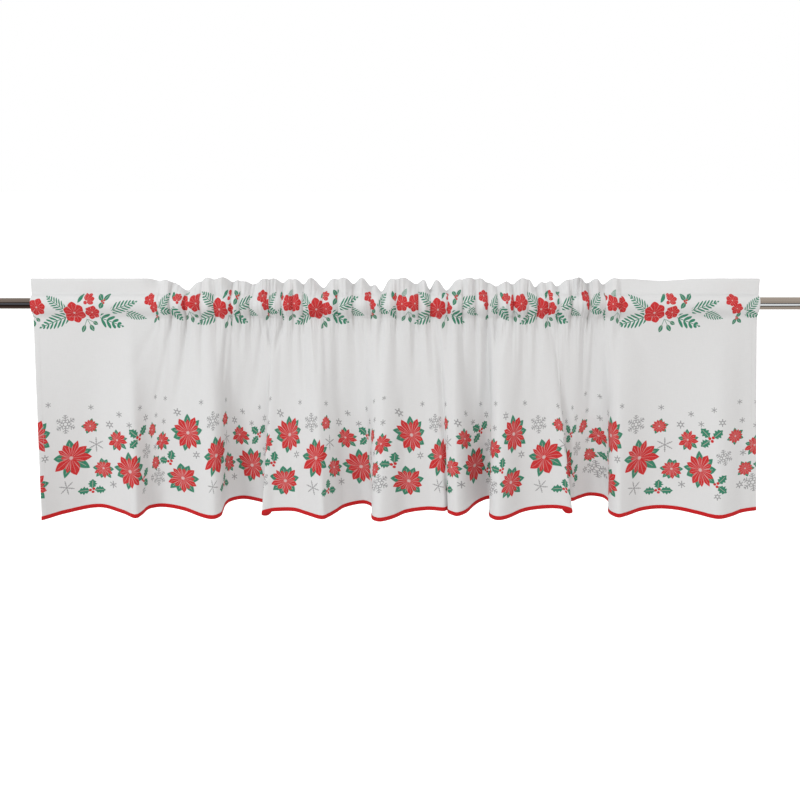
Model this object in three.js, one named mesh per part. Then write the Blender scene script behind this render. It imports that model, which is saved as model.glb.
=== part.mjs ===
// Window valance gathered on a telescopic curtain rod.
//
// One printed cotton panel hangs from the rod by a sewn pocket.  Above the pocket the same cloth stands
// as a double frill, and a narrow binding is folded round its lower edge.  Millimetres, +Z up, the rod
// along X, the front of the cloth towards -Y, and the origin on the rod's axis at mid-length.

import * as THREE from 'three';

// ---- Driving dimensions ---------------------------------------------------------------------------

const ROD_LENGTH = 1540;
const NARROW_TUBE = { radius: 10, wall: 1, from: -ROD_LENGTH / 2, length: 880 };
const WIDE_TUBE = { radius: 11.5, wall: 0.9, from: ROD_LENGTH / 2, length: 830 };
const TUBE_SIDES = 24;

const CLOTH_WIDTH = 1957;          // the panel's flat width between its finished side edges
const CLOTH_THICKNESS = 1.2;
const SIDE_HEM = { width: 10, thickness: 2.2 };
const POCKET = { low: -25, high: 16, depth: 14.2 };   // seam heights, and half depth round the rod
const FRILL = { height: 30, thickness: 2, ruffle: 0.35 };
const DROP = 388;                  // cloth length from the lower seam to the lower edge
const BINDING = { face: 7, wall: 1, gap: 0.3 };

const HEM_RIDE = 0.12;             // how much a fold's lower edge rises for each mm it lies further back
const FOLD_GROWTH = 0.9;           // power by which the folds open from the pocket to the lower edge
const GATHER_FADE = 0.42;          // share of the drop over which the small gathers run out
const GATHER_POWER = 1.5;
const SEAM_SHARE = 0.55;           // share of a gather's depth that is left at the two seams
const GATHER_SPACE = 0.4;          // depth of a gather for each mm between two tucks
const GATHER_LIMIT = 12;
const GATHER_ROUND = 1.3;

// Where the flat cloth sits along the rod: [distance across the flat cloth, place along the rod].
// The two ends lie flat, and the cloth between them is drawn up to about two thirds of its width.
const HEAD_STOPS = [
  [0, -686], [220, -467], [414, -333], [750, -159], [1087, 71], [1423, 263], [1694, 411],
  [CLOTH_WIDTH, 668],
];

// The tucks where the gathered cloth is pinched towards the rod, as places along the rod.
const TUCKS = [
  -450, -428, -400, -372, -345, -314, -298, -280, -243, -220, -200, -181, -144, -116, -88, -54, -35,
  -8, 34, 56, 88, 116, 140, 162, 181, 211, 237, 256, 276, 295, 319, 351, 381, 411,
];

// The lower edge in plan: [distance across the flat cloth, x, y].  Ridges have negative y and stand
// towards the room, recesses have positive y.  Where x runs backwards the cloth doubles behind itself.
const HEM_FOLDS = [
  [0, -690, -28], [47, -654, 5], [108, -594, 30], [158, -539, 3], [181, -512, -18], [196, -503, 0],
  [215, -499, 17], [245, -490, 27], [286, -465, 31], [327, -423, 16], [362, -380, -15],
  [387, -360, -21], [405, -349, -7], [420, -348, 13], [440, -347, 36], [460, -339, 52],
  [492, -313, 61], [530, -277, 50], [562, -256, 40], [576, -255, 29], [590, -263, 19],
  [604, -271, 9], [618, -264, 8], [640, -246, 14], [679, -208, 14], [707, -182, -2],
  [738, -152, -22], [768, -138, -10], [795, -125, 9], [818, -109, 30], [847, -75, 44],
  [868, -57, 34], [884, -52, 14], [912, -55, -13], [930, -50, -28], [944, -37, -34],
  [966, -14, -19], [991, 11, 6], [1035, 55, 19], [1070, 86, 15], [1088, 96, 22], [1106, 94, 8],
  [1122, 102, -2], [1136, 112, -7], [1152, 128, 5], [1175, 145, 33], [1190, 157, 48],
  [1215, 177, 61], [1232, 190, 57], [1244, 195, 45], [1256, 185, 26], [1268, 175, 6],
  [1280, 175, -12], [1292, 184, -25], [1304, 195, -26], [1324, 211, -16], [1354, 238, 9],
  [1382, 265, 21], [1419, 301, 26], [1444, 329, 23], [1457, 340, 25], [1468, 339, 33],
  [1480, 329, 38], [1492, 323, 45], [1506, 328, 52], [1540, 346, 54], [1564, 357, 61],
  [1600, 383, 72], [1622, 408, 66], [1632, 416, 53], [1645, 417, 38], [1658, 412, 24],
  [1670, 409, 11], [1681, 413, -3], [1694, 424, -14], [1710, 439, -7], [1741, 474, 16],
  [1775, 511, 25], [1810, 548, 19], [1848, 581, 1], [1888, 616, -21], [1914, 647, -7],
  [1930, 668, 8], [CLOTH_WIDTH, 701, 18],
];

// Places where a doubled fold hangs lower than its neighbours: [place, half width, extra length].
const HEM_SAGS = [[586, 16, 12], [1476, 18, 16]];

// Where the frill lops over backwards: [place along the rod, half width, loss of height].
const FRILL_DIPS = [
  [-450, 11, 5], [-401, 20, 24], [-313, 8, 7], [-285, 14, 8], [-268, 10, 10], [-220, 10, 9],
  [-182, 8, 12], [-144, 12, 19], [-87, 9, 11], [-56, 8, 14], [-35, 10, 26], [28, 12, 12], [56, 6, 22],
  [88, 13, 24], [181, 18, 16], [213, 9, 10], [254, 8, 18], [271, 6, 9], [296, 12, 16], [351, 10, 10],
  [382, 10, 12], [490, 45, 6],
];

const FLAT_STEP = 26;              // spacing of the cloth's sections where it lies flat
const GATHER_STEP = 15;            // and where it is gathered
const PANEL_ROWS = [1, 0.7, 0.4, 0.2, 0.08];
const POCKET_ANGLES = [-40, 5, 50];

// ---- Finishes -------------------------------------------------------------------------------------

const COTTON = new THREE.MeshStandardMaterial({ color: 0xefecea, roughness: 0.9, metalness: 0 });
const RED_TAPE = new THREE.MeshStandardMaterial({ color: 0xc72a2c, roughness: 0.8, metalness: 0 });
const STEEL = new THREE.MeshStandardMaterial({ color: 0x9a948e, roughness: 0.3, metalness: 1 });

// ---- Curves through stops -------------------------------------------------------------------------

function spanOf(stops, at) {
  let index = 0;
  while (index < stops.length - 2 && at > stops[index + 1][0]) {
    index += 1;
  }
  return index;
}

// Straight runs between stops.
function along(stops, at, key = 0, value = 1) {
  let index = 0;
  while (index < stops.length - 2 && at > stops[index + 1][key]) {
    index += 1;
  }
  const [from, to] = [stops[index], stops[index + 1]];
  const share = (at - from[key]) / (to[key] - from[key]);
  return from[value] + share * (to[value] - from[value]);
}

// A smooth curve through stops, with each slope taken from the two neighbours.
function smooth(stops, at, value) {
  const index = spanOf(stops, at);
  const slope = (i) => {
    const before = stops[Math.max(i - 1, 0)];
    const after = stops[Math.min(i + 1, stops.length - 1)];
    return (after[value] - before[value]) / (after[0] - before[0]);
  };
  const [from, to] = [stops[index], stops[index + 1]];
  const width = to[0] - from[0];
  const t = (at - from[0]) / width;
  const [t2, t3] = [t * t, t * t * t];
  return (2 * t3 - 3 * t2 + 1) * from[value] + (t3 - 2 * t2 + t) * width * slope(index)
    + (3 * t2 - 2 * t3) * to[value] + (t3 - t2) * width * slope(index + 1);
}

// A bump of height 1 at its middle and a half at its half width.
function bump(distance, halfWidth) {
  return 2 ** -((distance / halfWidth) ** 2);
}

// ---- The hanging cloth ----------------------------------------------------------------------------

const TUCK_PLACES = TUCKS.map((x) => along(HEAD_STOPS, x, 1, 0));

// Depth of the gathers in front of the rod, from one tuck to the next.
function gather(u) {
  const index = TUCK_PLACES.findIndex((place, i) => u >= place && u < TUCK_PLACES[i + 1]);
  if (index < 0) {
    return 0;
  }
  const share = (u - TUCK_PLACES[index]) / (TUCK_PLACES[index + 1] - TUCK_PLACES[index]);
  const depth = Math.min(GATHER_SPACE * (TUCKS[index + 1] - TUCKS[index]), GATHER_LIMIT);
  return depth * Math.sin(Math.PI * share) ** GATHER_ROUND;
}

function seam(u) {
  return -SEAM_SHARE * gather(u);
}

// A point of the hanging panel: s is 0 at the lower seam and 1 at the lower edge.
function panelPoint(u, s) {
  const headX = along(HEAD_STOPS, u);
  const foldX = smooth(HEM_FOLDS, u, 1);
  const foldY = smooth(HEM_FOLDS, u, 2);
  const lift = HEM_RIDE * foldY + foldY ** 2 / (2 * DROP);
  const sag = HEM_SAGS.reduce((sum, [at, half, extra]) => sum + extra * bump(u - at, half), 0);
  const fade = Math.max(0, 1 - s / GATHER_FADE) ** GATHER_POWER;
  return new THREE.Vector3(
    headX + s * (foldX - headX),
    foldY * s ** FOLD_GROWTH + seam(u) * fade,
    POCKET.low - s * (DROP - lift) - s ** 3 * sag,
  );
}

// A point of the pocket: side is -1 in front of the rod and 1 behind it.
function pocketPoint(u, angle, side) {
  const around = Math.cos(THREE.MathUtils.degToRad(angle));
  const rise = Math.sin(THREE.MathUtils.degToRad(angle));
  return new THREE.Vector3(
    along(HEAD_STOPS, u),
    side * (POCKET.depth + gather(u)) * around + seam(u) * (1 - around),
    rise < 0 ? -POCKET.low * rise : POCKET.high * rise,
  );
}

// A point of the standing frill: h is 0 at the upper seam and 1 at the top.
function frillPoint(u, h) {
  const x = along(HEAD_STOPS, u);
  const loss = FRILL_DIPS.reduce((sum, [at, half, drop]) => sum + drop * bump(x - at, half), 0);
  const upright = Math.max(0.05, 1 - loss / FRILL.height);
  return new THREE.Vector3(
    x,
    seam(u) * (1 + FRILL.ruffle * h) + FRILL.height * h * Math.sqrt(1 - upright ** 2),
    POCKET.high + FRILL.height * h * upright,
  );
}

// The unit vector that stands out of a surface towards the room (-Y on a flat cloth).
function outOf(surface, u, v) {
  const step = 0.5;
  const across = surface(Math.min(u + step, CLOTH_WIDTH), v).sub(surface(Math.max(u - step, 0), v));
  const tall = 0.01;
  const down = surface(u, v + tall).sub(surface(u, v - tall));
  return across.cross(down).normalize();
}

function panelOut(u, s) {
  return outOf(panelPoint, u, Math.max(s, 0.02)).negate();
}

function pocketOut(u, angle, side) {
  const out = outOf((at, turn) => pocketPoint(at, turn, side), u, angle);
  return out.multiplyScalar(out.y * side > 0 ? 1 : -1);
}

function frillOut(u, h) {
  return outOf(frillPoint, u, h);
}

function moved(point, direction, distance) {
  return point.clone().addScaledVector(direction, distance);
}

function panelHalf(u) {
  const inHem = u <= SIDE_HEM.width || u >= CLOTH_WIDTH - SIDE_HEM.width;
  return (inHem ? SIDE_HEM.thickness : CLOTH_THICKNESS) / 2;
}

// One section through the cloth: its outline, from the lower edge up the front, over the frill and
// down the back, and the outline of the tunnel that the rod goes through.
function clothSection(u) {
  const half = panelHalf(u);
  const panelFace = (side) => PANEL_ROWS.map((s) => moved(panelPoint(u, s), panelOut(u, s), side * half));
  const seamFace = (point, out, side, thickness) => moved(point, out, side * thickness / 2);
  const frillFace = (side) => [0.5, 1].map((h) => (
    moved(frillPoint(u, h), frillOut(u, h), side * FRILL.thickness / 2)));
  const pocketFace = (side, lift) => POCKET_ANGLES.map((angle) => (
    moved(pocketPoint(u, angle, side), pocketOut(u, angle, side), lift)));
  const lowSeam = panelPoint(u, 0);
  const highSeam = frillPoint(u, 0);
  const lowOut = panelOut(u, 0);
  const highOut = frillOut(u, 0);

  const outline = [
    ...panelFace(1),
    seamFace(lowSeam, lowOut, 1, FRILL.thickness),
    ...pocketFace(-1, CLOTH_THICKNESS / 2),
    seamFace(highSeam, highOut, 1, FRILL.thickness),
    ...frillFace(1),
    ...frillFace(-1).reverse(),
    seamFace(highSeam, highOut, -1, FRILL.thickness),
    ...pocketFace(1, CLOTH_THICKNESS / 2).reverse(),
    seamFace(lowSeam, lowOut, -1, FRILL.thickness),
    ...panelFace(-1).reverse(),
  ];
  const up = new THREE.Vector3(0, 0, 1);
  const tunnel = [
    moved(lowSeam, up, FRILL.thickness),
    ...pocketFace(-1, -CLOTH_THICKNESS / 2),
    moved(highSeam, up, -FRILL.thickness),
    ...pocketFace(1, -CLOTH_THICKNESS / 2).reverse(),
  ];
  return { outline, tunnel };
}

// One section through the binding: a U that holds the lower edge.
function bindingSection(u) {
  const edge = panelPoint(u, 1);
  const up = panelPoint(u, PANEL_ROWS[1]).sub(edge).normalize();
  const out = panelOut(u, 1);
  const inner = panelHalf(u) + BINDING.gap;
  const outer = inner + BINDING.wall;
  const corner = (across, height) => moved(moved(edge, out, across), up, height);
  const outline = [
    corner(outer, BINDING.face),
    corner(inner, BINDING.face),
    corner(inner, -BINDING.gap),
    corner(-inner, -BINDING.gap),
    corner(-inner, BINDING.face),
    corner(-outer, BINDING.face),
    corner(-outer, -BINDING.gap - BINDING.wall),
    corner(outer, -BINDING.gap - BINDING.wall),
  ];
  return { outline };
}

// Places of the sections across the flat cloth: closer together where it is gathered.
function sectionPlaces() {
  const hem = SIDE_HEM.width;
  const stops = [0, hem, hem + 2, ...TUCK_PLACES, CLOTH_WIDTH - hem - 2, CLOTH_WIDTH - hem, CLOTH_WIDTH];
  const places = [0];
  for (let i = 0; i < stops.length - 1; i += 1) {
    const flat = stops[i] < TUCK_PLACES[0] || stops[i] >= TUCK_PLACES[TUCK_PLACES.length - 1];
    const width = stops[i + 1] - stops[i];
    const steps = Math.max(1, Math.round(width / (flat ? FLAT_STEP : GATHER_STEP)));
    for (let k = 1; k <= steps; k += 1) {
      places.push(stops[i] + width * k / steps);
    }
  }
  return places;
}

// ---- Solids from sections -------------------------------------------------------------------------

// Joins the same outline of each section to the next with two triangles for each side.  The two faces
// of the cloth are split along the same diagonal, so that they stay apart where the cloth is twisted.
function addWalls(positions, loops, inward) {
  for (let i = 0; i < loops.length - 1; i += 1) {
    const [near, far] = [loops[i], loops[i + 1]];
    for (let k = 0; k < near.length; k += 1) {
      const next = (k + 1) % near.length;
      const [a, b, c, d] = [near[k], near[next], far[next], far[k]];
      const rising = b.z > a.z;
      const faces = rising ? [a, c, b, a, d, c] : [a, d, b, b, d, c];
      const ordered = inward ? faces.reverse() : faces;
      ordered.forEach((point) => positions.push(point.x, point.y, point.z));
    }
  }
}

// Closes an end: the outline filled, with the tunnel's outline left open.
function addCap(positions, section, facesRight) {
  const flatten = (loop) => loop.map((point) => new THREE.Vector2(point.y, point.z));
  const holes = section.tunnel ? [section.tunnel] : [];
  const points = [...section.outline, ...holes.flat()];
  const faces = THREE.ShapeUtils.triangulateShape(flatten(section.outline), holes.map(flatten));
  for (const [i, j, k] of faces) {
    const [a, b, c] = [points[i], points[j], points[k]];
    const turn = (b.y - a.y) * (c.z - a.z) - (b.z - a.z) * (c.y - a.y);
    const order = (turn > 0) === facesRight ? [a, b, c] : [a, c, b];
    order.forEach((point) => positions.push(point.x, point.y, point.z));
  }
}

function solidFromSections(sections) {
  const positions = [];
  addWalls(positions, sections.map((section) => section.outline), false);
  if (sections[0].tunnel) {
    addWalls(positions, sections.map((section) => section.tunnel), true);
  }
  addCap(positions, sections[0], false);
  addCap(positions, sections[sections.length - 1], true);
  const geometry = new THREE.BufferGeometry();
  geometry.setAttribute('position', new THREE.Float32BufferAttribute(positions, 3));
  geometry.computeVertexNormals();
  return geometry;
}

// A tube with one closed flat end, standing on that end along +Y.
function tubeGeometry({ radius, wall, length }) {
  const profile = [
    [0, 0], [radius, 0], [radius, length], [radius - wall, length], [radius - wall, wall], [0, wall],
  ];
  return new THREE.LatheGeometry(profile.map(([r, y]) => new THREE.Vector2(r, y)), TUBE_SIDES);
}

function named(name, geometry, material) {
  const mesh = new THREE.Mesh(geometry, material);
  mesh.name = name;
  return mesh;
}

// ---- The valance ----------------------------------------------------------------------------------

const places = sectionPlaces();
const cloth = named('valance_cloth', solidFromSections(places.map(clothSection)), COTTON);
const binding = named('hem_binding', solidFromSections(places.map(bindingSection)), RED_TAPE);

const narrowTube = named('rod_tube_narrow', tubeGeometry(NARROW_TUBE), STEEL);
narrowTube.position.x = NARROW_TUBE.from;
narrowTube.rotation.z = -Math.PI / 2;

const wideTube = named('rod_tube_wide', tubeGeometry(WIDE_TUBE), STEEL);
wideTube.position.x = WIDE_TUBE.from;
wideTube.rotation.z = Math.PI / 2;

const rod = new THREE.Group();
rod.add(narrowTube, wideTube);

const valance = new THREE.Group();
valance.add(cloth, binding, rod);

export default valance;
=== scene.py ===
"""A gathered cotton window valance on a telescopic curtain rod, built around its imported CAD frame.

The tables hold millimetres, as a sewing pattern does, and the meshes are in metres.  The rod's axis is
the X axis, -Y is the side that faces the room, and +Z is up.  On the flat cloth, u runs from the left
edge to the right one, and v runs from the lower edge up the front, over the frill and down the back.
"""

import logging
import math
from dataclasses import dataclass, replace
from enum import Enum
from typing import Any, Optional, Sequence, Union

import bpy
import numpy as np
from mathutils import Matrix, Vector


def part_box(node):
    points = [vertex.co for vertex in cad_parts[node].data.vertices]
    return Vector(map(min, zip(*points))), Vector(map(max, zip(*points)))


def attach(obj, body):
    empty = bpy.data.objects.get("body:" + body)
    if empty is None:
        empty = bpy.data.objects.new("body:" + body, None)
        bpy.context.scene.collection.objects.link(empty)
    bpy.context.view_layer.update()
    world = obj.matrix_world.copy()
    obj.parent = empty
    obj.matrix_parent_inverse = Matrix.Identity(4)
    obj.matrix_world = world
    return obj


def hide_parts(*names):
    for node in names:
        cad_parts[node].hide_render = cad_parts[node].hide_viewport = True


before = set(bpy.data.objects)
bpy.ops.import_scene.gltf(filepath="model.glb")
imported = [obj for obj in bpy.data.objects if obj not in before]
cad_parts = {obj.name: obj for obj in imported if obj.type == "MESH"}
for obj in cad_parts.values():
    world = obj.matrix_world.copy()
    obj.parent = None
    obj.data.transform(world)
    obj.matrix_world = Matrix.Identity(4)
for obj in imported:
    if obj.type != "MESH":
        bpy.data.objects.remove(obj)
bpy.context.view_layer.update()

log = logging.getLogger("valance")

MM = 0.001               # metres in a millimetre
BODY = "root"
Array = np.ndarray
Colour = tuple[float, float, float]
Number = Union[float, "Value"]


# ---- Nodes ----------------------------------------------------------------------------------------


class Value:
    """A number's socket in a shader, which takes part in Python expressions."""

    def __init__(self, board: "NodeBoard", socket: bpy.types.NodeSocket) -> None:
        """Keeps the socket and the board that it belongs to."""
        self.board = board
        self.socket = socket

    def math(self, operation: str, *others: Number) -> "Value":
        """Adds a Math node that starts from this value.

        Args:
            operation: the Math node's operation.
            others: the node's other inputs.

        Returns:
            The node's result.
        """
        return self.board.math(operation, self, *others)

    def __add__(self, other: Number) -> "Value":
        """Adds."""
        return self.math("ADD", other)

    def __radd__(self, other: float) -> "Value":
        """Adds, with the number on the left."""
        return self.math("ADD", other)

    def __sub__(self, other: Number) -> "Value":
        """Subtracts."""
        return self.math("SUBTRACT", other)

    def __rsub__(self, other: float) -> "Value":
        """Subtracts from a number."""
        return self.board.math("SUBTRACT", other, self)

    def __mul__(self, other: Number) -> "Value":
        """Multiplies."""
        return self.math("MULTIPLY", other)

    def __rmul__(self, other: float) -> "Value":
        """Multiplies, with the number on the left."""
        return self.math("MULTIPLY", other)

    def __truediv__(self, other: Number) -> "Value":
        """Divides."""
        return self.math("DIVIDE", other)

    def __rtruediv__(self, other: float) -> "Value":
        """Divides a number."""
        return self.board.math("DIVIDE", other, self)

    def __neg__(self) -> "Value":
        """Changes the sign."""
        return self.math("MULTIPLY", -1.0)

    def __lt__(self, other: Number) -> "Value":
        """1 where this value is the smaller one, else 0."""
        return self.math("LESS_THAN", other)

    def __gt__(self, other: Number) -> "Value":
        """1 where this value is the larger one, else 0."""
        return self.math("GREATER_THAN", other)


class NodeBoard:
    """A node tree under construction."""

    def __init__(self, tree: bpy.types.NodeTree) -> None:
        """Keeps the tree that the nodes are added to."""
        self.tree = tree

    def node(
        self,
        kind: str,
        settings: Optional[dict[str, Any]] = None,
        sockets: Optional[dict[Union[str, int], Any]] = None,
    ) -> bpy.types.Node:
        """Adds a node, sets it up, and then fills or links its inputs.

        Args:
            kind: the node's type.
            settings: its properties; "stops" are a colour ramp's positions and colours, and "ramp" is
                how it runs from one to the next.
            sockets: values or links for its inputs, by name or number.

        Returns:
            The node.
        """
        made = self.tree.nodes.new(kind)
        for key, setting in (settings or {}).items():
            if key == "stops":
                self._set_stops(made.color_ramp, setting)
            elif key == "ramp":
                made.color_ramp.interpolation = setting
            else:
                setattr(made, key, setting)
        for key, value in (sockets or {}).items():
            self._feed(made.inputs[key], value)
        return made

    @staticmethod
    def _set_stops(ramp: bpy.types.ColorRamp, stops: Sequence[tuple[float, Sequence[float]]]) -> None:
        """Gives a colour ramp its stops, from the lowest position up.

        Args:
            ramp: the ramp.
            stops: positions and colours, from the lowest position up.
        """
        while len(ramp.elements) < len(stops):
            ramp.elements.new(1.0)
        for element, (position, colour) in zip(ramp.elements, stops):
            element.position = position
            element.color = tuple(colour) if len(colour) == 4 else (*colour, 1.0)

    def _feed(self, socket: bpy.types.NodeSocket, value: Any) -> None:
        """Links a value or a node's socket to an input, or sets the input to a constant.

        Args:
            socket: the input.
            value: a value, an output socket or a constant.
        """
        if isinstance(value, Value):
            value = value.socket
        if isinstance(value, bpy.types.NodeSocket):
            self.tree.links.new(value, socket)
        elif hasattr(value, "__len__") and len(value) == 3 and socket.type == "RGBA":
            socket.default_value = (*value, 1.0)
        else:
            socket.default_value = value

    def value(self, node: bpy.types.Node, output: Union[str, int] = 0) -> Value:
        """A node's output as a value for expressions."""
        return Value(self, node.outputs[output])

    def math(self, operation: str, *inputs: Number) -> Value:
        """Adds a Math node.

        Args:
            operation: its operation.
            inputs: its inputs in order.

        Returns:
            The node's result.
        """
        made = self.node("ShaderNodeMath", {"operation": operation}, dict(enumerate(inputs)))
        return self.value(made)

    def clamp(self, value: Number) -> Value:
        """Keeps a value between 0 and 1."""
        return self.value(self.node("ShaderNodeClamp", None, {"Value": value}), "Result")

    def step(self, value: Number, softness: float) -> Value:
        """Turns a signed distance into a mask with an edge of a given softness."""
        return self.clamp(self.math("DIVIDE", value, softness))

    def mix(self, share: Number, first: Any, second: Any, blend: str = "MIX") -> bpy.types.NodeSocket:
        """Mixes two colours.

        Args:
            share: how much of the second one shows.
            first: a colour or a colour socket.
            second: a colour or a colour socket.
            blend: the Mix node's blend type.

        Returns:
            The mixed colour's socket.
        """
        made = self.node(
            "ShaderNodeMix",
            {"data_type": "RGBA", "blend_type": blend},
            {"Factor": share, 6: first, 7: second},
        )
        return made.outputs[2]

    def vector(self, operation: str, *inputs: Any, output: str = "Vector") -> bpy.types.NodeSocket:
        """Adds a Vector Math node and gives one of its outputs."""
        made = self.node("ShaderNodeVectorMath", {"operation": operation}, dict(enumerate(inputs)))
        return made.outputs[output]

    def split(self, vector: bpy.types.NodeSocket) -> tuple[Value, Value, Value]:
        """The three parts of a vector or of a colour."""
        made = self.node("ShaderNodeSeparateXYZ", None, {0: vector})
        return self.value(made, 0), self.value(made, 1), self.value(made, 2)

    def join(self, x: Number, y: Number) -> bpy.types.NodeSocket:
        """A vector of two values."""
        return self.node("ShaderNodeCombineXYZ", None, {0: x, 1: y}).outputs[0]

    def attribute(self, name: str, output: str) -> bpy.types.NodeSocket:
        """One of a mesh's attributes, as its vector or its number."""
        settings = {"attribute_name": name, "attribute_type": "GEOMETRY"}
        return self.node("ShaderNodeAttribute", settings).outputs[output]

    def noise(self, place: Any, scale: float, detail: float, space: str = "2D") -> Value:
        """Adds a noise.

        Args:
            place: the coordinates' socket.
            scale: waves in a unit of the coordinates.
            detail: how many finer layers lie on the waves.
            space: "2D" on a flat measure, or "3D".

        Returns:
            The noise, about 0.5 on average.
        """
        sockets = {"Vector": place, "Scale": scale, "Detail": detail}
        return self.value(self.node("ShaderNodeTexNoise", {"noise_dimensions": space}, sockets))

    def bump(self, height: Value, strength: float, distance: float) -> bpy.types.NodeSocket:
        """A normal that follows a height, whose unit is a distance in metres."""
        sockets = {"Strength": strength, "Distance": distance, "Height": height}
        return self.node("ShaderNodeBump", None, sockets).outputs[0]


class Shader(NodeBoard):
    """A node material under construction."""

    def __init__(self, name: str) -> None:
        """Starts an empty material.

        Args:
            name: the material's name.
        """
        self.material = bpy.data.materials.new(name)
        self.material.use_nodes = True
        super().__init__(self.material.node_tree)
        self.tree.nodes.clear()

    def finish(self, sockets: dict[str, Any]) -> bpy.types.Material:
        """Ends the material in a Principled surface.

        Args:
            sockets: the surface's inputs by name.

        Returns:
            The material.
        """
        surface = self.node("ShaderNodeBsdfPrincipled", None, sockets)
        self.node("ShaderNodeOutputMaterial", None, {"Surface": surface.outputs[0]})
        return self.material


# ---- The printed pattern --------------------------------------------------------------------------


@dataclass(frozen=True)
class Lobe:
    """A petal or a leaf of a printed motif: its direction in degrees, its reach and its width."""

    turn: float
    reach: float
    width: float


class Motif(Enum):
    """The drawings that the print repeats."""

    BROAD_BLOOM = 1
    STARRY_BLOOM = 2
    RAGGED_BLOOM = 3
    DAISY = 4
    BLOSSOM = 5
    BUD = 6
    HOLLY_FAN = 7
    HOLLY_CROSS = 8
    HOLLY_PAIR = 9
    HOLLY_FORK = 10
    DROPS = 11
    BERRY_SPRIG = 12
    FERN = 13
    FROND = 14
    SNOWFLAKE = 15
    ICE_STAR = 16
    FLECK = 17
    RING_FLECK = 18
    LEAF = 19


PETALS: dict[Motif, tuple[Lobe, ...]] = {
    Motif.BROAD_BLOOM: (
        Lobe(-77, 1.0, 0.50), Lobe(-3, 0.99, 0.42), Lobe(36, 0.93, 0.40), Lobe(69, 0.97, 0.30),
        Lobe(115, 0.82, 0.42), Lobe(142, 0.78, 0.30), Lobe(172, 0.50, 0.26), Lobe(-144, 1.0, 0.42),
        Lobe(-106, 0.80, 0.30),
    ),
    Motif.STARRY_BLOOM: (
        Lobe(126, 0.86, 0.40), Lobe(93, 0.74, 0.30), Lobe(66, 0.95, 0.40), Lobe(35, 0.70, 0.32),
        Lobe(2, 0.60, 0.30), Lobe(-26, 0.76, 0.34), Lobe(-58, 0.94, 0.32), Lobe(-84, 0.92, 0.30),
        Lobe(-116, 0.90, 0.36), Lobe(158, 0.78, 0.34), Lobe(-160, 0.62, 0.34),
    ),
    Motif.RAGGED_BLOOM: (
        Lobe(43, 0.86, 0.40), Lobe(6, 0.66, 0.32), Lobe(-24, 0.84, 0.36), Lobe(-58, 0.70, 0.32),
        Lobe(-84, 0.88, 0.34), Lobe(-122, 0.70, 0.30), Lobe(-148, 0.88, 0.34), Lobe(166, 0.70, 0.34),
        Lobe(138, 0.70, 0.30), Lobe(112, 0.62, 0.28), Lobe(84, 0.60, 0.30),
    ),
    Motif.DAISY: tuple(Lobe(turn, 0.80, 0.34) for turn in range(-166, 180, 30)),
    Motif.BLOSSOM: (
        Lobe(88, 1.0, 0.74), Lobe(28, 0.96, 0.76), Lobe(-28, 0.98, 0.72), Lobe(-84, 0.96, 0.70),
        Lobe(-148, 1.0, 0.78), Lobe(150, 0.94, 0.72),
    ),
    Motif.BUD: (
        Lobe(112, 0.9, 0.50), Lobe(72, 1.0, 0.56), Lobe(34, 1.0, 0.56), Lobe(-4, 0.86, 0.50),
        Lobe(-120, 0.5, 0.4),
    ),
}

LEAVES: dict[Motif, tuple[Lobe, ...]] = {
    Motif.BROAD_BLOOM: (
        Lobe(94, 1.02, 0.40), Lobe(20, 1.06, 0.36), Lobe(-38, 1.10, 0.40), Lobe(-109, 1.10, 0.36),
        Lobe(174, 0.88, 0.40),
    ),
    Motif.STARRY_BLOOM: (
        Lobe(94, 1.05, 0.36), Lobe(48, 0.96, 0.36), Lobe(12, 0.84, 0.44), Lobe(-38, 0.96, 0.42),
        Lobe(-98, 1.04, 0.34), Lobe(-150, 0.84, 0.44), Lobe(178, 0.90, 0.36),
    ),
    Motif.RAGGED_BLOOM: (
        Lobe(100, 0.90, 0.44), Lobe(68, 0.90, 0.40), Lobe(6, 0.92, 0.40), Lobe(-50, 0.98, 0.40),
        Lobe(-104, 0.92, 0.40), Lobe(-128, 1.02, 0.34), Lobe(178, 0.86, 0.44),
    ),
    Motif.DAISY: (
        Lobe(75, 0.98, 0.40), Lobe(14, 1.0, 0.44), Lobe(-43, 0.98, 0.44), Lobe(-115, 1.0, 0.44),
        Lobe(178, 0.98, 0.44),
    ),
    Motif.HOLLY_FAN: (Lobe(138, 1.0, 0.62), Lobe(42, 1.0, 0.62), Lobe(-140, 0.95, 0.58)),
    Motif.HOLLY_CROSS: (Lobe(176, 1.0, 0.62), Lobe(86, 0.92, 0.62), Lobe(4, 1.0, 0.62)),
    Motif.HOLLY_PAIR: (Lobe(172, 1.0, 0.62), Lobe(84, 1.0, 0.62)),
    Motif.HOLLY_FORK: (Lobe(44, 1.0, 0.62), Lobe(-42, 1.0, 0.62)),
    Motif.DROPS: (Lobe(-110, 1.05, 0.27), Lobe(-64, 1.0, 0.29), Lobe(-28, 0.85, 0.26)),
    Motif.BERRY_SPRIG: (Lobe(124, 0.86, 0.44), Lobe(48, 1.0, 0.38), Lobe(-121, 0.86, 0.44)),
}

HOLLIES = (Motif.HOLLY_FAN, Motif.HOLLY_CROSS, Motif.HOLLY_PAIR, Motif.HOLLY_FORK)
BERRIED = (*HOLLIES, Motif.BERRY_SPRIG)
ROUND_PETALLED = (Motif.BLOSSOM, Motif.BUD)


@dataclass(frozen=True)
class Placed:
    """A motif on the flat cloth: its middle in mm across one repeat and above the lower edge."""

    motif: Motif
    u: float
    v: float
    size: float          # from the middle to the longest petal's tip
    turn: float = 0.0    # degrees, anticlockwise
    slim: float = 1.0    # its height for its width


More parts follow.
